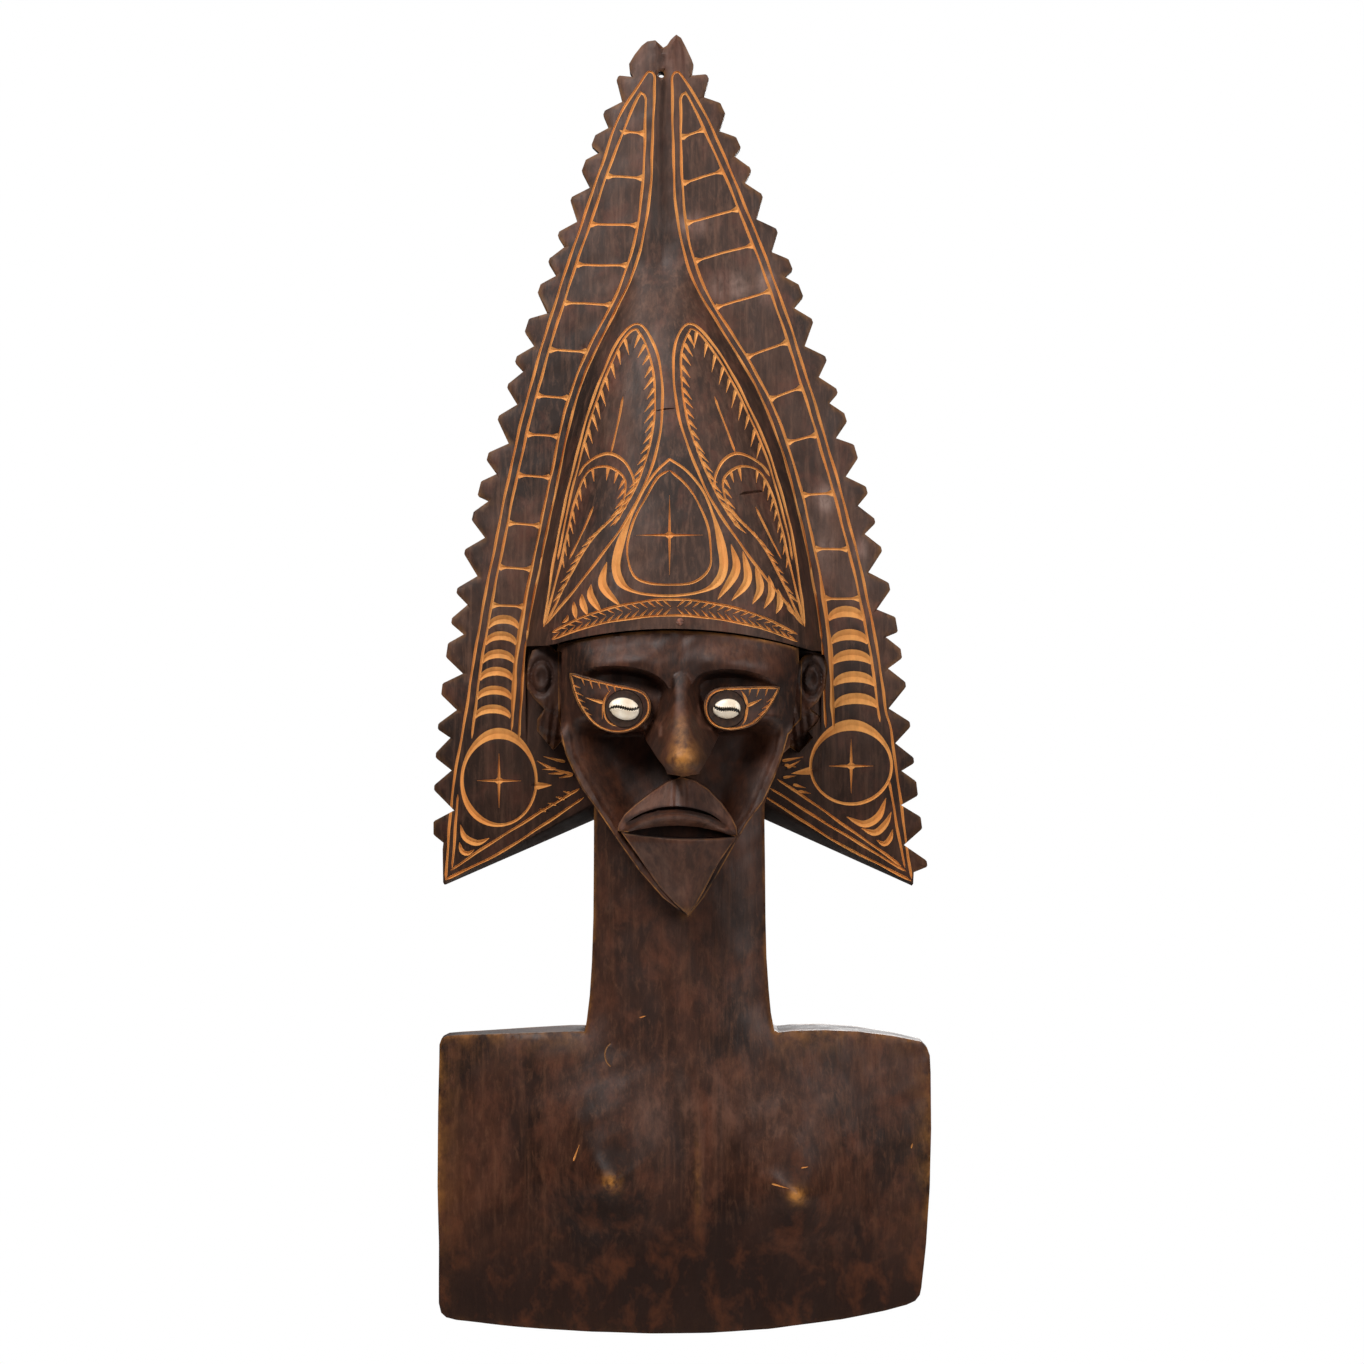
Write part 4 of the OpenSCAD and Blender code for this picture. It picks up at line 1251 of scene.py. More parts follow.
def bust_painted_shade_and_highlights(x, z):
    """Painted shade and painted highlights on the bust: shade in the sockets, cheek hollows, mouth, round
    the ears, beside the nose, under the chin and breasts and towards the foot; highlights on the breasts,
    upper chest, jaw and muzzle.
    """
    # painted shade in the mouth opening
    dark = 0.95 * inside(np.array(MOUTH), x, z)
    for side in (-1, 1):
        u = side * (x + 2)
        # painted shade under the brow, in the eye sockets
        brow = 455.5 - 0.004 * (u - 38) ** 2 - 9 * smooth(18, 4, u) - z
        under_brow = smooth(-1.5, 3, brow) * (1 - smooth(9, 17, brow))
        socket = under_brow * smooth(4, 12, u) * (1 - smooth(44, 64, u))
        dark = np.maximum(dark, 0.85 * socket * (z > 425))
        # painted shade in the cheek hollows
        cheek = np.exp(-(((u - 34) / 22) ** 2) - ((z - 388) / 24) ** 2)
        dark = np.maximum(dark, 0.75 * np.clip(1.5 * cheek, 0, 1) * (z < 412))
        # painted shade round the ears
        ear = np.hypot((u - 93) / 9, (z - 448) / 14)
        dark = np.maximum(dark, (z > 395) * (u > 81) * (0.45 + 0.25 * (1 - smooth(0.7, 1.2, ear))))
    # painted shade beside the nose
    flank = np.exp(-(((np.abs(x - nose_x(z)) - 16) / 5) ** 2) - ((z - 401) / 11) ** 2)
    dark = np.maximum(dark, 0.75 * flank)
    # painted shade along the inner edges of the sockets
    groove = np.exp(-(((np.abs(x - 1) - 9.5) / 4) ** 2)) * smooth(416, 430, z) * (1 - smooth(452, 463, z))
    dark = np.maximum(dark, 0.65 * groove)
    for side, (x0, z0) in zip((-1, 1), TIPS):
        # painted shade under each breast
        dark = np.maximum(dark, 0.95 * np.exp(-(((x - x0) / 36) ** 2) - ((z - z0 + 22) / 18) ** 2))
        # painted shade in the hollow above each tip
        above = np.exp(-(((x - x0 + side * 3) / 9) ** 2) - ((z - z0 - 17) / 14) ** 2)
        dark = np.maximum(dark, 0.95 * above)
        # painted highlight along the ridge from each tip
        dark = dark - 1.2 * breast_ridge(x, z, side, 3.2)
    # painted shade under the chin
    chin = 0.5 * np.exp(-(((x - 4) / 40) ** 2) - ((z - 285) / 30) ** 2) * (z < 330)
    # painted shade, darker towards the foot of the chest
    low = 0.95 * (1 - smooth(25, 112, z)) + 0.5 * np.exp(-(((x - 14) / 46) ** 2) - ((z - 52) / 34) ** 2)
    dark = np.where(dark < 0, dark, np.clip(np.maximum(np.maximum(dark, chin), low), 0, 1))
    # painted highlights on the upper chest
    dark = dark - 0.75 * np.exp(-(((x - 10) / 38) ** 2) - ((z - 156) / 26) ** 2)
    dark = dark - 0.4 * np.exp(-(((x - 66) / 34) ** 2) - ((z - 152) / 22) ** 2)
    # painted highlight lines by the inner corners of the eyes
    for corner in EYE_CORNER_HIGHLIGHTS:
        dark = dark - 1.5 * np.exp(-((path_distance(np.array(corner), x, z)[0] / 1.3) ** 2))
    # a middle level of darkening over the eye plates
    for side in (-1, 1):
        dark = np.where(inside(np.array(eye_leaf(side)), x, z), 0.55, dark)
    mouth = inside(np.array(MOUTH), x, z)
    # painted highlight on the jaw, stronger on its left
    jaw = -0.5 * smooth(290, 305, z) * (1 - 0.5 * smooth(0, 30, x))
    dark = np.where(inside(np.array(JAW), x, z) & ~mouth, jaw, dark)
    # lighter muzzle, partly the wood's redder tone and partly painted highlight
    muzzle = -0.75 + 0.25 * smooth(8, 0, np.abs(x - 1.5))
    # painted shade along the lip slit
    muzzle = muzzle + 1.6 * smooth(3.6, 2.0, path_distance(np.array(LIP_SLIT), x, z)[0])
    return np.where(inside(np.array(MUZZLE), x, z) & (z > 346) & ~mouth, muzzle, dark)


def eye_leaf(side):
    """Engraved outline of one eye plate."""
    if side < 0:
        leaf = [
            (-73.5, 450.5), (-61, 447), (-45, 443), (-31.5, 440.3), (-24, 436.8), (-21, 430.5),
            (-22, 423.5), (-28, 416.8), (-36, 413.2), (-45, 412.8), (-54, 416), (-61, 421.5),
            (-67, 430.5), (-71, 440.5), (-73.5, 450.5),
        ]
    else:
        leaf = [
            (66.3, 441.3), (52, 441.2), (36, 440.8), (26, 440), (20, 436.4), (17.6, 430), (19, 422.3),
            (23.6, 417), (32, 414.5), (41.5, 415.4), (49.5, 418.4), (56, 424.5), (61.2, 431.8),
            (66.3, 441.3),
        ]
    return leaf


def eye_ornament(relief, side):
    """Engraved outline, ring, branch and barbs of one eye plate."""
    leaf = eye_leaf(side)
    if side < 0:
        ring = [(-46.5, 440.5), (-50, 435), (-51, 428), (-50, 421), (-45.5, 416.8), (-38, 415.6)]
        branch = [(-63.5, 435), (-51.3, 431.5)]
        fork = [((-51.5, 432), (-48.5, 438.5)), ((-51.5, 431), (-52.3, 420.5))]
    else:
        ring = [(41, 440), (44.6, 434), (45.3, 427.5), (44, 420.5), (41, 416)]
        branch = [(55, 434), (45.5, 429.5)]
        fork = [((45.5, 430), (41.8, 438.5)), ((45.5, 429), (43, 418))]
    scored(relief, spline(leaf, 1.0), 0.52, 0.8)
    scored(relief, spline(ring, 1.0), 0.46, 0.7)
    barb(relief, branch[-1], branch[0], 1.4, 1.0)
    for a, b in fork:
        barb(relief, a, b, 0.9, 1.0)
    top = spline(leaf[:4] if side < 0 else leaf[:3], 1.0)
    low = spline(leaf[-5:], 1.0)[::-1]
    feather(relief, top[4:-6], 5.5, 5.6, 0.1, 0.75, (-0.3 * side, -1))
    feather(relief, low[4:-7], 5.5, 5.0, 0.1, 0.75, (-side * 1.1, -0.55))


# Old knocks on the chest and neck: where each starts, and how far it runs.
KNOCKS = (
    (-72, 122, 4.0, 11),
    (62, 107.5, 11, -2.5),
    (82, 118, 4.5, 0.6),
    (158, 127, 0.8, 3.2),
    (-27, 218, 4, 1.2),
)


def build_bust():
    relief = Relief(
        bust_outline(),
        trunk_depth,
        bust_back,
        [
            (1.35, lambda x, z: (z > 283) & (np.abs(x) < 82)),
            (1.3, lambda x, z: (z > 390) & (np.abs(x) >= 82)),
            (2.9, lambda x, z: (z <= 283) & (np.abs(x - 14) < 85) & (z > 40)),
            (3.8, lambda x, z: (z <= 283) & ((np.abs(x - 14) >= 85) | (z <= 40))),
        ],
        bust_painted_shade_and_highlights,
        rub=rubbed,
        longest=1.8,
    )
    head = RIM_LEFT + [CHIN] + RIM_RIGHT + [(83, 420), (84, 490), (-84, 490), (-83, 420)]
    relief.region(head, face_depth, 0.9)
    relief.region(EAR_LEFT + [(-80.5, 466)], ear_depth(-1), 0)
    relief.region(EAR_RIGHT, ear_depth(1), 0)

    brow_left = [
        (-66, 449), (-63.5, 453.5), (-54, 455.7), (-44, 456.2), (-34, 455.4), (-22.5, 452.8),
        (-14.5, 448.8), (-9, 443.5), (-6.5, 437),
    ]
    brow_right = [
        (65.5, 443), (59, 448.5), (45.5, 452.7), (34, 454), (25.5, 453.6), (16, 451.5), (11, 448),
        (7.5, 442), (7, 436),
    ]
    socket_left = list(map(tuple, spline(brow_left, 2.0)))
    socket_left += [(-8, 425), (-12.5, 408), (-20, 409), (-30, 411), (-58, 418), (-68, 432), (-71, 444)]
    socket_right = list(map(tuple, spline(brow_right, 2.0)))
    socket_right += [(8.5, 425), (12, 408), (22, 411), (34, 412), (52, 418), (62, 431)]
    for socket in (socket_left, socket_right):
        relief.region(socket, socket_depth(np.array(socket)), 0)

    for side in (-1, 1):
        plate = offset(spline(eye_leaf(side), 2.0)[:-1], -side * PLATE_EDGE, True)
        relief.region(plate, plate_depth(side), 0.5)
    for centre in EYES:
        pocket = oval(centre, EYE_R + 0.1, EYE_R + 0.1, 0, 352, 44)
        relief.region(pocket, lambda x, z, below: PLATE - EYE_DEEP + 0 * x, 0)

    wedge_left = [
        (-27, 414.5), (-20, 418), (-13.5, 419), (-9, 421), (-2, 400), (-2, 384), (-7, 384.5),
        (-14.5, 393.5), (-22.5, 405),
    ]
    wedge_right = [
        (4, 384), (4, 400), (10.5, 421), (12, 423), (16, 415.5), (24, 415.5), (26.5, 409.5),
        (19.5, 395.5), (12.8, 384.5),
    ]
    for wedge in (wedge_left, wedge_right):
        relief.region(wedge, wedge_depth(np.array(wedge)), 0)
    z = np.linspace(384, 461, 30)
    wide = ridge_half(z) + 0.6 + 8 * smooth(388, 401, z) * (1 - 0.25 * smooth(405, 440, z))
    nose = [(nose_x(h) - w, h) for w, h in zip(wide, z)]
    nose += [(nose_x(h) + w, h) for w, h in zip(wide[::-1], z[::-1])]
    relief.region(nose + [(7.5, 383.2), (2.2, 382.2), (-3, 383.2)], over_nose, 0)
    relief.region(MUZZLE, muzzle_depth, 0.5)
    lips = [
        (-36, 351), (-25, 356.5), (-14, 359.5), (-2.5, 360.5), (9.5, 359), (20, 356), (30.5, 350),
        (38.3, 342), (0, 340), (-39, 344),
    ]
    relief.region(lips, lips_depth, 0)
    relief.region(MOUTH, lambda x, z, below: 93 + 0 * x, 0.5)
    relief.region(JAW, jaw_depth, 0.8)

    slit = spline(LIP_SLIT, 1.2)
    s = np.linspace(0, 1, len(slit))
    relief.cut(slit, np.maximum(2.1 * np.sin(np.pi * s) ** 0.5, 0.15), 6.5, 0)
    for side in (-1, 1):
        eye_ornament(relief, side)
    # a curved scratch on the chest
    relief.cut(oval((-43.5, 192.6), 7.4, 8.6, 118, 242, 12), 0.5, 0.3, 0.3)
    for x0, z0, dx, dz in KNOCKS:
        barb(relief, (x0, z0), (x0 + dx, z0 + dz), 0.75, 0.5)
    return relief.build("bust_timber", rows=6)


# ---------------------------------------------------------------- shells, resin and pegs


def grid_mesh(name, points):
    """Mesh from rows of points, closed round each row, with flat caps of one point at each end."""
    rows, count = points.shape[:2]
    co = points.reshape(-1, 3)
    faces = []
    for r in range(rows - 1):
        for k in range(count):
            n = (k + 1) % count
            faces.append((r * count + k, r * count + n, (r + 1) * count + n, (r + 1) * count + k))
    first, last = len(co), len(co) + 1
    co = np.vstack([co, points[0].mean(0), points[-1].mean(0)])
    for k in range(count):
        n = (k + 1) % count
        faces.append((first, n, k))
        faces.append((last, (rows - 1) * count + k, (rows - 1) * count + n))
    mesh = bpy.data.meshes.new(name)
    mesh.from_pydata(co.tolist(), [], faces)
    return add_piece(name, mesh, 40)


def cowrie(name, x0, z0, length, tilt, slit_side):
    """Mouth side of a cowrie, set in resin: a low egg with a toothed slit that bends near its ends."""
    half_l, half_w = length / 2, length * 0.36
    rings, around_count = 56, 132
    proud, sunk = 2.9, 5.5
    angle = np.linspace(0, 2 * math.pi, around_count, endpoint=False)
    rows = []
    for r in np.concatenate([[1.0], np.sin(np.linspace(math.pi / 2, 0, rings)[1:-1])]):
        u = r * np.cos(angle)
        v = r * np.sin(angle) * (1 + 0.06 * np.cos(angle))
        dome = np.sqrt(np.maximum(1 - r**2.3, 0)) ** 0.9
        s = u * half_l
        t = v * half_w
        bend = slit_side * half_w * (0.06 + 0.5 * (s / half_l) ** 3)
        away = t - bend
        reach = smooth(1.02, 0.78, np.abs(s) / half_l)
        teeth = 0.5 + 0.5 * np.cos(2 * math.pi * s / (length / 13.0))
        lips = np.exp(-((np.abs(away) - 1.5) / 1.3) ** 2) * 0.35
        width = (1.6 if slit_side > 0 else 2.0) - 0.95 * teeth
        slit = smooth(width, 0.45 * width, np.abs(away)) * reach
        ridge = 0.22 * teeth * np.exp(-((np.abs(away) - 1.1) / 0.9) ** 2) * reach
        height = proud * dome + lips * reach * dome + ridge - 2.6 * slit
        rows.append((s, t, PLATE + np.where(r > 0.999, -0.2, height), slit))
    s, t, depth, slit = (np.array([row[k] for row in rows]) for k in range(4))
    under = [(0.9, -2.4), (0.55, -4.4), (0.2, -sunk)]
    for share, low in under:
        s = np.vstack([half_l * share * np.cos(angle)[None, :], s])
        t = np.vstack([half_w * share * np.sin(angle)[None, :], t])
        depth = np.vstack([np.full((1, around_count), PLATE + low), depth])
        slit = np.vstack([np.zeros((1, around_count)), slit])
    turn = math.radians(tilt)
    x = x0 + s * math.cos(turn) + t * math.sin(turn)
    z = z0 - s * math.sin(turn) + t * math.cos(turn)
    points = place(x.ravel(), depth.ravel(), z.ravel()).reshape(x.shape + (3,))
    piece = grid_mesh(name, points)
    values = np.concatenate([slit.ravel(), [0, 0]]).astype(np.float32)
    piece.data.attributes.new("slit", "FLOAT", "POINT").data.foreach_set("value", values)
    return piece


# Share of the way out from the shell to the pocket's wall, and depth from the eye plate.
RESIN_PROFILE = (
    (0.0, -6.9), (1.0, -6.9), (1.0, -0.5), (0.97, -0.05), (0.75, -0.15),
    (0.4, -0.2), (0.12, 0.2), (0.0, 0.4), (0.0, -2.0),
)


def resin_ring(name, x0, z0, length, tilt):
    """Bed of dark resin: a disc in the pocket, hollow round the shell's foot and smeared up to it."""
    angle = np.linspace(0, 2 * math.pi, 72, endpoint=False)
    turn = math.radians(tilt)
    rows = []
    for share, depth in RESIN_PROFILE:
        rough = 0.16 * np.sin(5 * angle + 1.3) + 0.1 * np.sin(9 * angle)
        s, t = length * 0.485 * np.cos(angle), length * 0.345 * np.sin(angle)
        ix, iz = s * math.cos(turn) + t * math.sin(turn), -s * math.sin(turn) + t * math.cos(turn)
        ox, oz = EYE_R * np.cos(angle - turn), EYE_R * np.sin(angle - turn)
        if share == 0.0 and depth < -6:
            ix, iz = ox * 0.3, oz * 0.3
        x, z = ix + (ox - ix) * share, iz + (oz - iz) * share
        rows.append(place(x0 + x, PLATE + depth + rough * (depth > -0.8), z0 + z))
    return grid_mesh(name, np.array(rows))


def peg(name, x0, z0, radius, low, high, seed):
    """Whittled peg: many-sided, a little tapered, with a crushed and split end."""
    rng = np.random.default_rng(seed)
    angle = np.linspace(0, 2 * math.pi, 36, endpoint=False)
    facets = 1 - 0.035 * np.cos(7 * angle + rng.uniform(0, 6)) - 0.02 * np.cos(3 * angle)
    rows = []
    profile = [
        (0.0, low), (0.86, low), (0.97, low + 0.5), (1.0, low + 2), (0.99, (low + high) / 2),
        (0.98, high - 1.0), (0.93, high - 0.25), (0.6, high),
    ]
    for share, depth in profile:
        split = 0.7 * np.exp(-((np.sin(angle)) / 0.16) ** 2) * (depth > high - 0.5)
        r = radius * facets * max(share, 0.3)
        rows.append(place(x0 + r * np.cos(angle), depth - split * share, z0 + r * np.sin(angle)))
    return grid_mesh(name, np.array(rows))


# ---------------------------------------------------------------- materials


class Nodes:
    """Short way to write a node material."""

    def __init__(self, name):
        self.material = bpy.data.materials.new(name)
        self.material.use_nodes = True
        self.tree = self.material.node_tree
        self.shader = self.tree.nodes["Principled BSDF"]
        self.where = self.tree.nodes.new("ShaderNodeTexCoord").outputs["Object"]

    def link(self, source, target):
        if hasattr(source, "is_output") or hasattr(source, "links"):
            self.tree.links.new(source, target)
        else:
            target.default_value = source

    def make(self, kind, settings=None, **inputs):
        node = self.tree.nodes.new("ShaderNode" + kind)
        for key, value in (settings or {}).items():
            setattr(node, key, value)
        for key, value in inputs.items():
            self.link(value, node.inputs[key.replace("_", " ")])
        return node

    def stretched(self, x, y, z):
        return self.make("Mapping", Vector=self.where, Scale=(x, y, z)).outputs[0]

    def noise(self, scale, detail=4.0, stretch=(1, 1, 1), roughness=0.55, distortion=0.0):
        node = self.make("TexNoise", Vector=self.stretched(*stretch), Scale=scale, Detail=detail)
        node.inputs["Roughness"].default_value = roughness
        node.inputs["Distortion"].default_value = distortion
        return node.outputs["Fac"]

    def span(self, value, low, high, to_low=0.0, to_high=1.0):
        node = self.make("MapRange", {"clamp": True})
        self.link(value, node.inputs["Value"])
        ends = {"From Min": low, "From Max": high, "To Min": to_low, "To Max": to_high}
        for socket, number in ends.items():
            node.inputs[socket].default_value = number
        return node.outputs["Result"]

    def math(self, operation, a, b=0.0):
        node = self.make("Math", {"operation": operation, "use_clamp": operation in ("ADD", "MULTIPLY")})
        self.link(a, node.inputs[0])
        self.link(b, node.inputs[1])
        return node.outputs[0]

    def mix(self, share, a, b):
        node = self.make("Mix", {"data_type": "RGBA"})
        self.link(share, node.inputs["Factor"])
        self.link(a, node.inputs[6])
        self.link(b, node.inputs[7])
        return node.outputs[2]

    def attribute(self, name):
        return self.make("Attribute", {"attribute_name": name}).outputs["Fac"]

    def bump(self, height, strength, distance, under=None):
        node = self.make("Bump", Height=height)
        node.inputs["Strength"].default_value = strength
        node.inputs["Distance"].default_value = distance
        if under is not None:
            self.link(under, node.inputs["Normal"])
        return node.outputs[0]

    def finish(self, colour, roughness, normal=None, **others):
        self.link(colour, self.shader.inputs["Base Color"])
        self.link(roughness, self.shader.inputs["Roughness"])
        if normal is not None:
            self.link(normal, self.shader.inputs["Normal"])
        for key, value in others.items():
            self.link(value, self.shader.inputs[key.replace("_", " ")])
        return self.material


def rgb(r, g, b):
    return (r, g, b, 1.0)


RAW = (0.62, 0.27, 0.075)  # colour of freshly cut wood


def wood(name, dark, middle, light, pale, red, shade_colour, ember, ochre, shine, red_share, streaks, dull, polish):
    """Stained wood with raw carving, worn edges, vertical grain and soft polish. The dark attribute paints
    shade above 0 and lightens below 0, mostly as painted highlight.
    """
    n = Nodes(name)
    grain = n.noise(260, 5, (1.0, 1.0, 0.045), 0.62, 0.3)
    streak = n.noise(70, 4, (1.0, 1.0, 0.05), 0.6, 0.5)
    cloud = n.noise(17, 4, (1.0, 1.0, 0.55), 0.6, 0.6)
    blot = n.noise(48, 4, (1.0, 1.0, 0.7), 0.65, 0.25)
    base = n.mix(n.span(cloud, 0.36, 0.66), rgb(*dark), rgb(*middle))
    base = n.mix(n.span(blot, 0.50, 0.72, 0.0, red_share), base, rgb(*red))
    base = n.mix(n.span(grain, 0.50, 0.72, 0.0, streaks), base, rgb(*light))
    base = n.mix(n.span(streak, 0.30, 0.46, 1.3 * streaks, 0.0), base, rgb(*dark))
    speck = n.noise(240, 4, (1.0, 1.0, 0.35), 0.7, 0.4)
    base = n.mix(n.span(speck, 0.52, 0.72, 0.0, 0.5), base, rgb(*light))
    base = n.mix(n.span(speck, 0.30, 0.46, 0.5, 0.0), base, rgb(*dark))
    worn = n.attribute("worn")
    patch = n.noise(95, 4, (1, 1, 0.8), 0.65)
    share = n.math("MULTIPLY", worn, n.span(patch, 0.38, 0.66, 0.05, 1.0))
    base = n.mix(share, base, rgb(*ochre))
    # painted shade where the dark attribute is above 0, in a near-black tone with red flecks
    painted_shade_and_light = n.attribute("dark")
    shade_tone = n.mix(n.span(blot, 0.48, 0.66, 0.0, 0.65), rgb(*shade_colour), rgb(*ember))
    base = n.mix(n.span(painted_shade_and_light, 0.0, 1.0, 0.0, 0.92), base, shade_tone)
    # lightened where the dark attribute is below 0: painted highlights and lighter patches
    lightened = n.math("MULTIPLY", n.span(painted_shade_and_light, -1.0, 0.0, 1.0, 0.0), n.span(blot, 0.38, 0.60, 0.15, 1.0))
    lightened_tone = n.mix(n.span(streak, 0.36, 0.62), rgb(*red), rgb(*pale))
    base = n.mix(lightened, base, n.mix(n.span(speck, 0.30, 0.48, 0.45, 0.0), lightened_tone, rgb(*dark)))
    cut = n.attribute("cut")
    raw_tone = n.mix(n.span(grain, 0.35, 0.7), rgb(*[0.72 * c for c in RAW]), rgb(*RAW))
    aged = rgb(RAW[0] * 0.8, RAW[1] * 0.62, RAW[2] * 0.5)
    raw_tone = n.mix(n.span(n.noise(30, 3), 0.42, 0.62, 0.0, 0.5), raw_tone, aged)
    colour = n.mix(n.span(cut, 0.12, 0.55), base, raw_tone)
    matte = n.math("ADD", n.span(cut, 0.1, 0.5, 0.0, 0.25), n.span(painted_shade_and_light, 0.2, 1.0, 0.0, 0.2))
    rough = n.math("ADD", n.span(n.noise(55, 4, (1, 1, 0.4)), 0.35, 0.68, shine, shine + 0.17), matte)
    fine = n.bump(grain, 0.35, 0.0006)
    rub = n.noise(420, 2, (1.0, 1.0, 0.35), 0.5)
    fine = n.bump(rub, 0.22, 0.0003, fine)
    fine = n.bump(n.noise(60, 4, (1, 1, 0.5)), 0.3, 0.0012, fine)
    height = n.make("SeparateXYZ", Vector=n.where).outputs["Z"]
    specular = n.span(height, FOOT + dull[0], FOOT + dull[1], 0.1, polish)
    return n.finish(colour, rough, fine, Specular_IOR_Level=specular)


def shell_material():
    n = Nodes("cowrie_shell")
    cloud = n.noise(160, 3)
    colour = n.mix(n.span(cloud, 0.35, 0.7), rgb(0.74, 0.65, 0.53), rgb(0.60, 0.48, 0.34))
    colour = n.mix(n.span(n.noise(520, 4, (0.3, 1, 1.6)), 0.5, 0.75, 0.0, 0.3), colour, rgb(0.5, 0.36, 0.2))
    slit = n.attribute("slit")
    colour = n.mix(n.span(slit, 0.25, 0.8), colour, rgb(0.018, 0.012, 0.008))
    rough = n.span(cloud, 0.3, 0.7, 0.28, 0.42)
    return n.finish(colour, rough, n.bump(n.noise(900, 2), 0.1, 0.0002), Coat_Weight=0.15)


def resin_material():
    n = Nodes("dark_resin")
    cloud = n.noise(300, 4)
    colour = n.mix(n.span(cloud, 0.35, 0.7), rgb(0.016, 0.008, 0.005), rgb(0.042, 0.020, 0.011))
    rough = n.span(cloud, 0.3, 0.7, 0.6, 0.8)
    return n.finish(colour, rough, n.bump(cloud, 0.5, 0.0004), Specular_IOR_Level=0.2)


def peg_material():
    n = Nodes("peg_wood")
    grain = n.noise(500, 4, (1, 1, 0.6))
    colour = n.mix(n.span(grain, 0.38, 0.68), rgb(0.06, 0.02, 0.012), rgb(0.24, 0.085, 0.045))
    return n.finish(colour, n.span(grain, 0.3, 0.7, 0.5, 0.72), n.bump(grain, 0.5, 0.0004))


headdress_wood = wood(
    "headdress_wood",
    dark=(0.017, 0.0075, 0.0045), middle=(0.059, 0.0262, 0.0158), light=(0.112, 0.053, 0.032),
    pale=(0.20, 0.13, 0.105), red=(0.092, 0.030, 0.017),
    shade_colour=(0.006, 0.0028, 0.0018), ember=(0.014, 0.006, 0.004),
    ochre=(0.26, 0.115, 0.034), shine=0.52, red_share=0.75, streaks=0.6, dull=(0.34, 0.52), polish=0.27,
)
bust_wood = wood(
    "bust_wood",
    dark=(0.013, 0.0050, 0.0029), middle=(0.056, 0.0195, 0.0100), light=(0.098, 0.040, 0.020),
    pale=(0.125, 0.062, 0.042), red=(0.098, 0.032, 0.016),
    shade_colour=(0.012, 0.0046, 0.0027), ember=(0.070, 0.020, 0.007),
    ochre=(0.36, 0.145, 0.030), shine=0.43, red_share=0.6, streaks=0.4, dull=(0.09, 0.22), polish=0.23,
)

# ---------------------------------------------------------------- the object

# Length and tilt of each shell, and the side of its middle on which the slit bends.
SHELLS = ((20.5, 15, 1), (18.5, -4, -1))
BRIM_PEG_Z, BRIM_PEG_R, BRIM_PEG_DEPTHS = 486, 2.5, (48, 100.6)
UPPER_PEG_Z, LOWER_PEG_Z, LAP_PEG_X = 439.55, 385.9, 30
LAP_PEG_R, LAP_PEG_DEPTHS = 4.0, (0.0, 49)
BRIM_PEG_SEED, FIRST_LAP_PEG_SEED = 3, 10

headdress = build_headdress()
bust = build_bust()
pieces = [
    (headdress, "headdress", "headdress_wood", headdress_wood),
    (bust, "bust", "bust_wood", bust_wood),
]
shell_look, resin_look, peg_look = shell_material(), resin_material(), peg_material()
for side, (x0, z0), (length, tilt, slit_side) in zip(("left", "right"), EYES, SHELLS):
    shell = cowrie("cowrie_" + side, x0, z0, length, tilt, slit_side)
    pieces.append((shell, "shell_eye_" + side, "shell", shell_look))
    bed = resin_ring("resin_" + side, x0, z0, length, tilt)
    pieces.append((bed, "eye_bed_" + side, "resin", resin_look))
brim_peg = peg("brim_peg_oak", 0, BRIM_PEG_Z, BRIM_PEG_R, *BRIM_PEG_DEPTHS, BRIM_PEG_SEED)
pieces.append((brim_peg, "brim_peg", "peg_wood", peg_look))
lap_peg_seed = FIRST_LAP_PEG_SEED
for row, z in (("upper", UPPER_PEG_Z), ("lower", LOWER_PEG_Z)):
    for side, x in (("left", -LAP_PEG_X), ("right", LAP_PEG_X)):
        lap_peg = peg(f"back_peg_{row}_{side}", x, z, LAP_PEG_R, *LAP_PEG_DEPTHS, lap_peg_seed)
        pieces.append((lap_peg, f"lap_peg_{row}_{side}", "peg_wood", peg_look))
        lap_peg_seed += 1
for piece, node, slot, material in pieces:
    piece.data.materials.append(material)
    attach(piece, "root")
    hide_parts(node)

# ---------------------------------------------------------------- camera, floor and light

CAMERA_AWAY = 3.0
VIEW_HEIGHT = 0.93775
VIEW_DEPTH = 0.030
AIM_RIGHT, AIM_HEIGHT = 0.0014, 0.4455
aim = Vector((MIDDLE + AIM_RIGHT, 0.0, FOOT + AIM_HEIGHT))


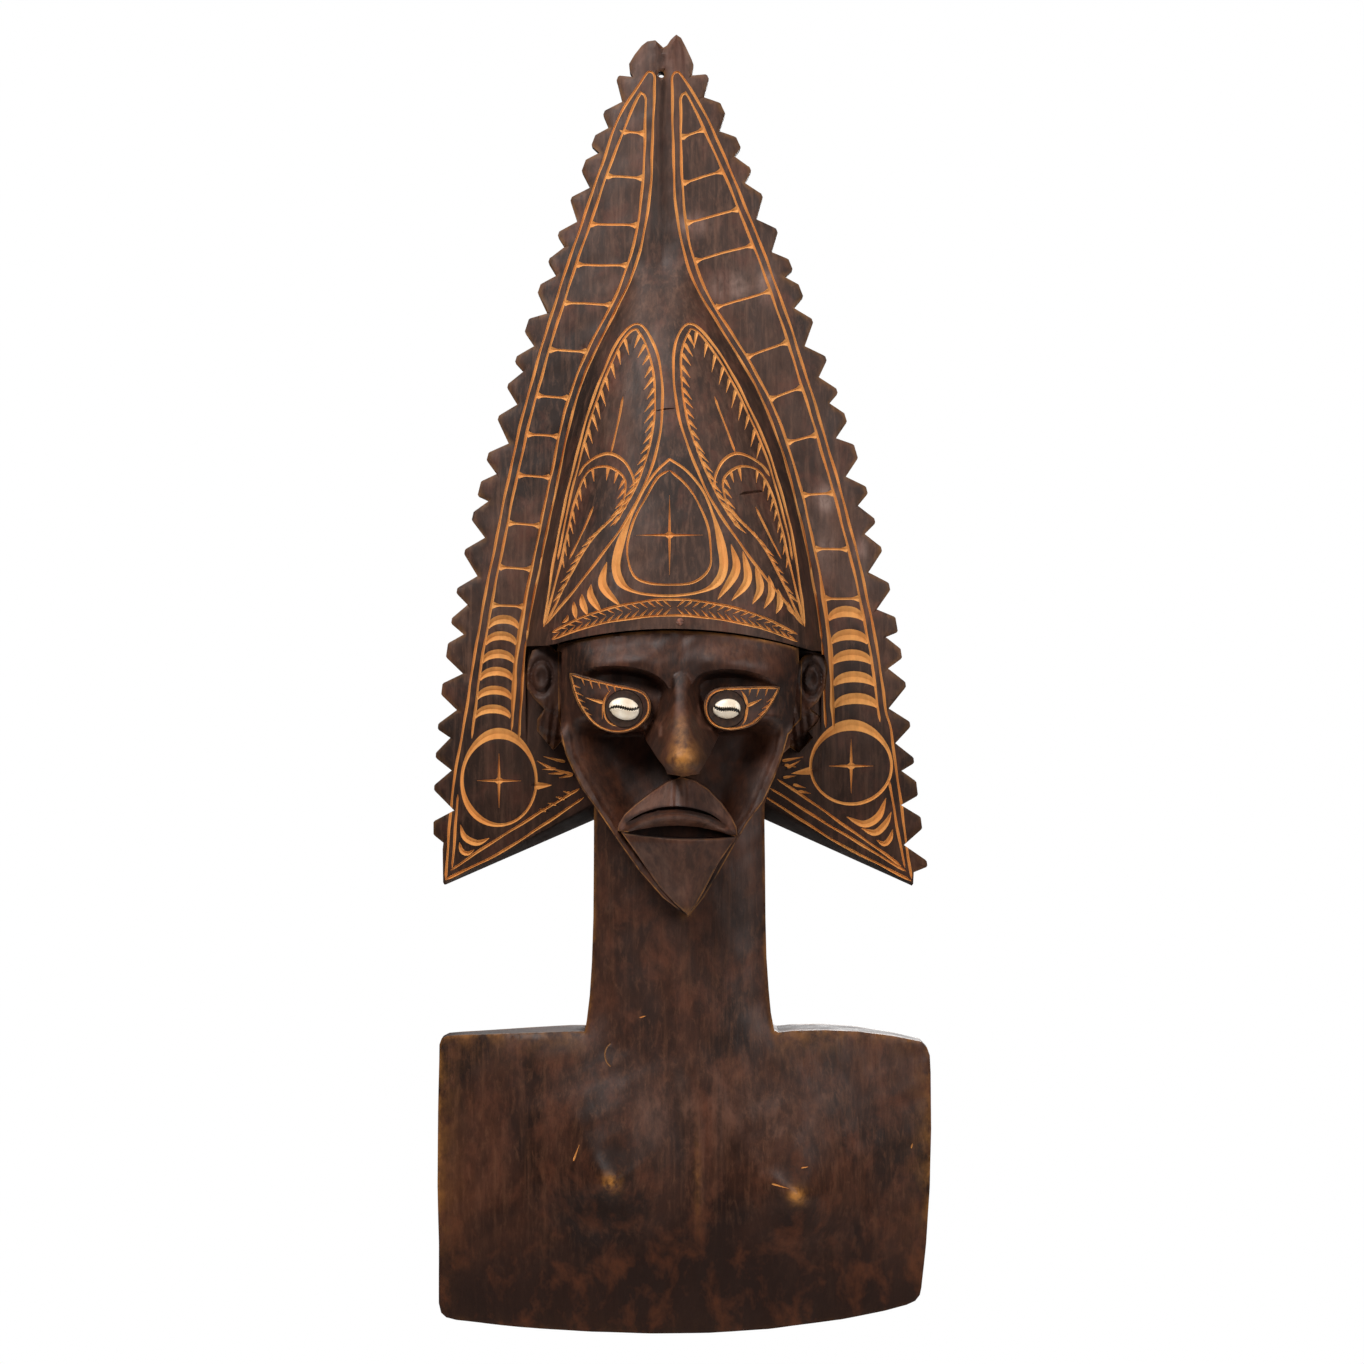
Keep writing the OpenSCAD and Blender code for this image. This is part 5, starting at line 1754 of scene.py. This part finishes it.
def lamp(name, spot, size, power):
    """Rectangular light at a place in metres, turned towards the object."""
    light = bpy.data.lights.new(name, "AREA")
    light.shape = "RECTANGLE"
    light.size, light.size_y = size
    light.energy = power
    holder = bpy.data.objects.new(name, light)
    holder.location = spot
    holder.rotation_euler = (aim - Vector(spot)).to_track_quat("-Z", "Y").to_euler()
    bpy.context.collection.objects.link(holder)


camera_data = bpy.data.cameras.new("camera")
camera_data.sensor_fit = "VERTICAL"
camera_data.angle = 2 * math.atan(VIEW_HEIGHT / 2 / (CAMERA_AWAY - VIEW_DEPTH))
camera = bpy.data.objects.new("camera", camera_data)
camera.location = aim + Vector((0, -CAMERA_AWAY, 0))
camera.rotation_euler = (math.pi / 2, 0, 0)
bpy.context.collection.objects.link(camera)
bpy.context.scene.camera = camera

FLOOR_DROP, FLOOR_HALF, ROUND = 0.16, 0.75, 96
low = FOOT - FLOOR_DROP
turns = [2 * math.pi * k / ROUND for k in range(ROUND)]
floor_mesh = bpy.data.meshes.new("floor")
rim = [(FLOOR_HALF * math.cos(t), FLOOR_HALF * math.sin(t), low) for t in turns]
floor_mesh.from_pydata(rim, [], [range(ROUND)])
floor = bpy.data.objects.new("floor", floor_mesh)
bpy.context.collection.objects.link(floor)
paint = Nodes("pale_floor")
floor_mesh.materials.append(paint.finish(rgb(0.9, 0.9, 0.89), 0.9))

SKY_ON_OBJECT, SKY_IN_VIEW = 0.12, 1.0
world = bpy.data.worlds.new("studio")
bpy.context.scene.world = world
world.use_nodes = True
tree = world.node_tree
sky = tree.nodes["Background"]
sky.inputs["Color"].default_value = (1, 1, 1, 1)
path = tree.nodes.new("ShaderNodeLightPath")
level = tree.nodes.new("ShaderNodeMapRange")
level.inputs["To Min"].default_value = SKY_ON_OBJECT
level.inputs["To Max"].default_value = SKY_IN_VIEW
tree.links.new(path.outputs["Is Camera Ray"], level.inputs["Value"])
tree.links.new(level.outputs["Result"], sky.inputs["Strength"])
bpy.context.scene.view_settings.view_transform = "Standard"

lamp("key", (-0.8, -1.3, 1.0), (1.1, 0.9), 50)
lamp("fill", (1.7, -1.9, 0.1), (1.0, 1.6), 36)
lamp("top", (0.1, -0.4, 1.9), (1.4, 0.8), 20)
lamp("back", (0.7, 2.3, 0.5), (1.3, 1.3), 60)
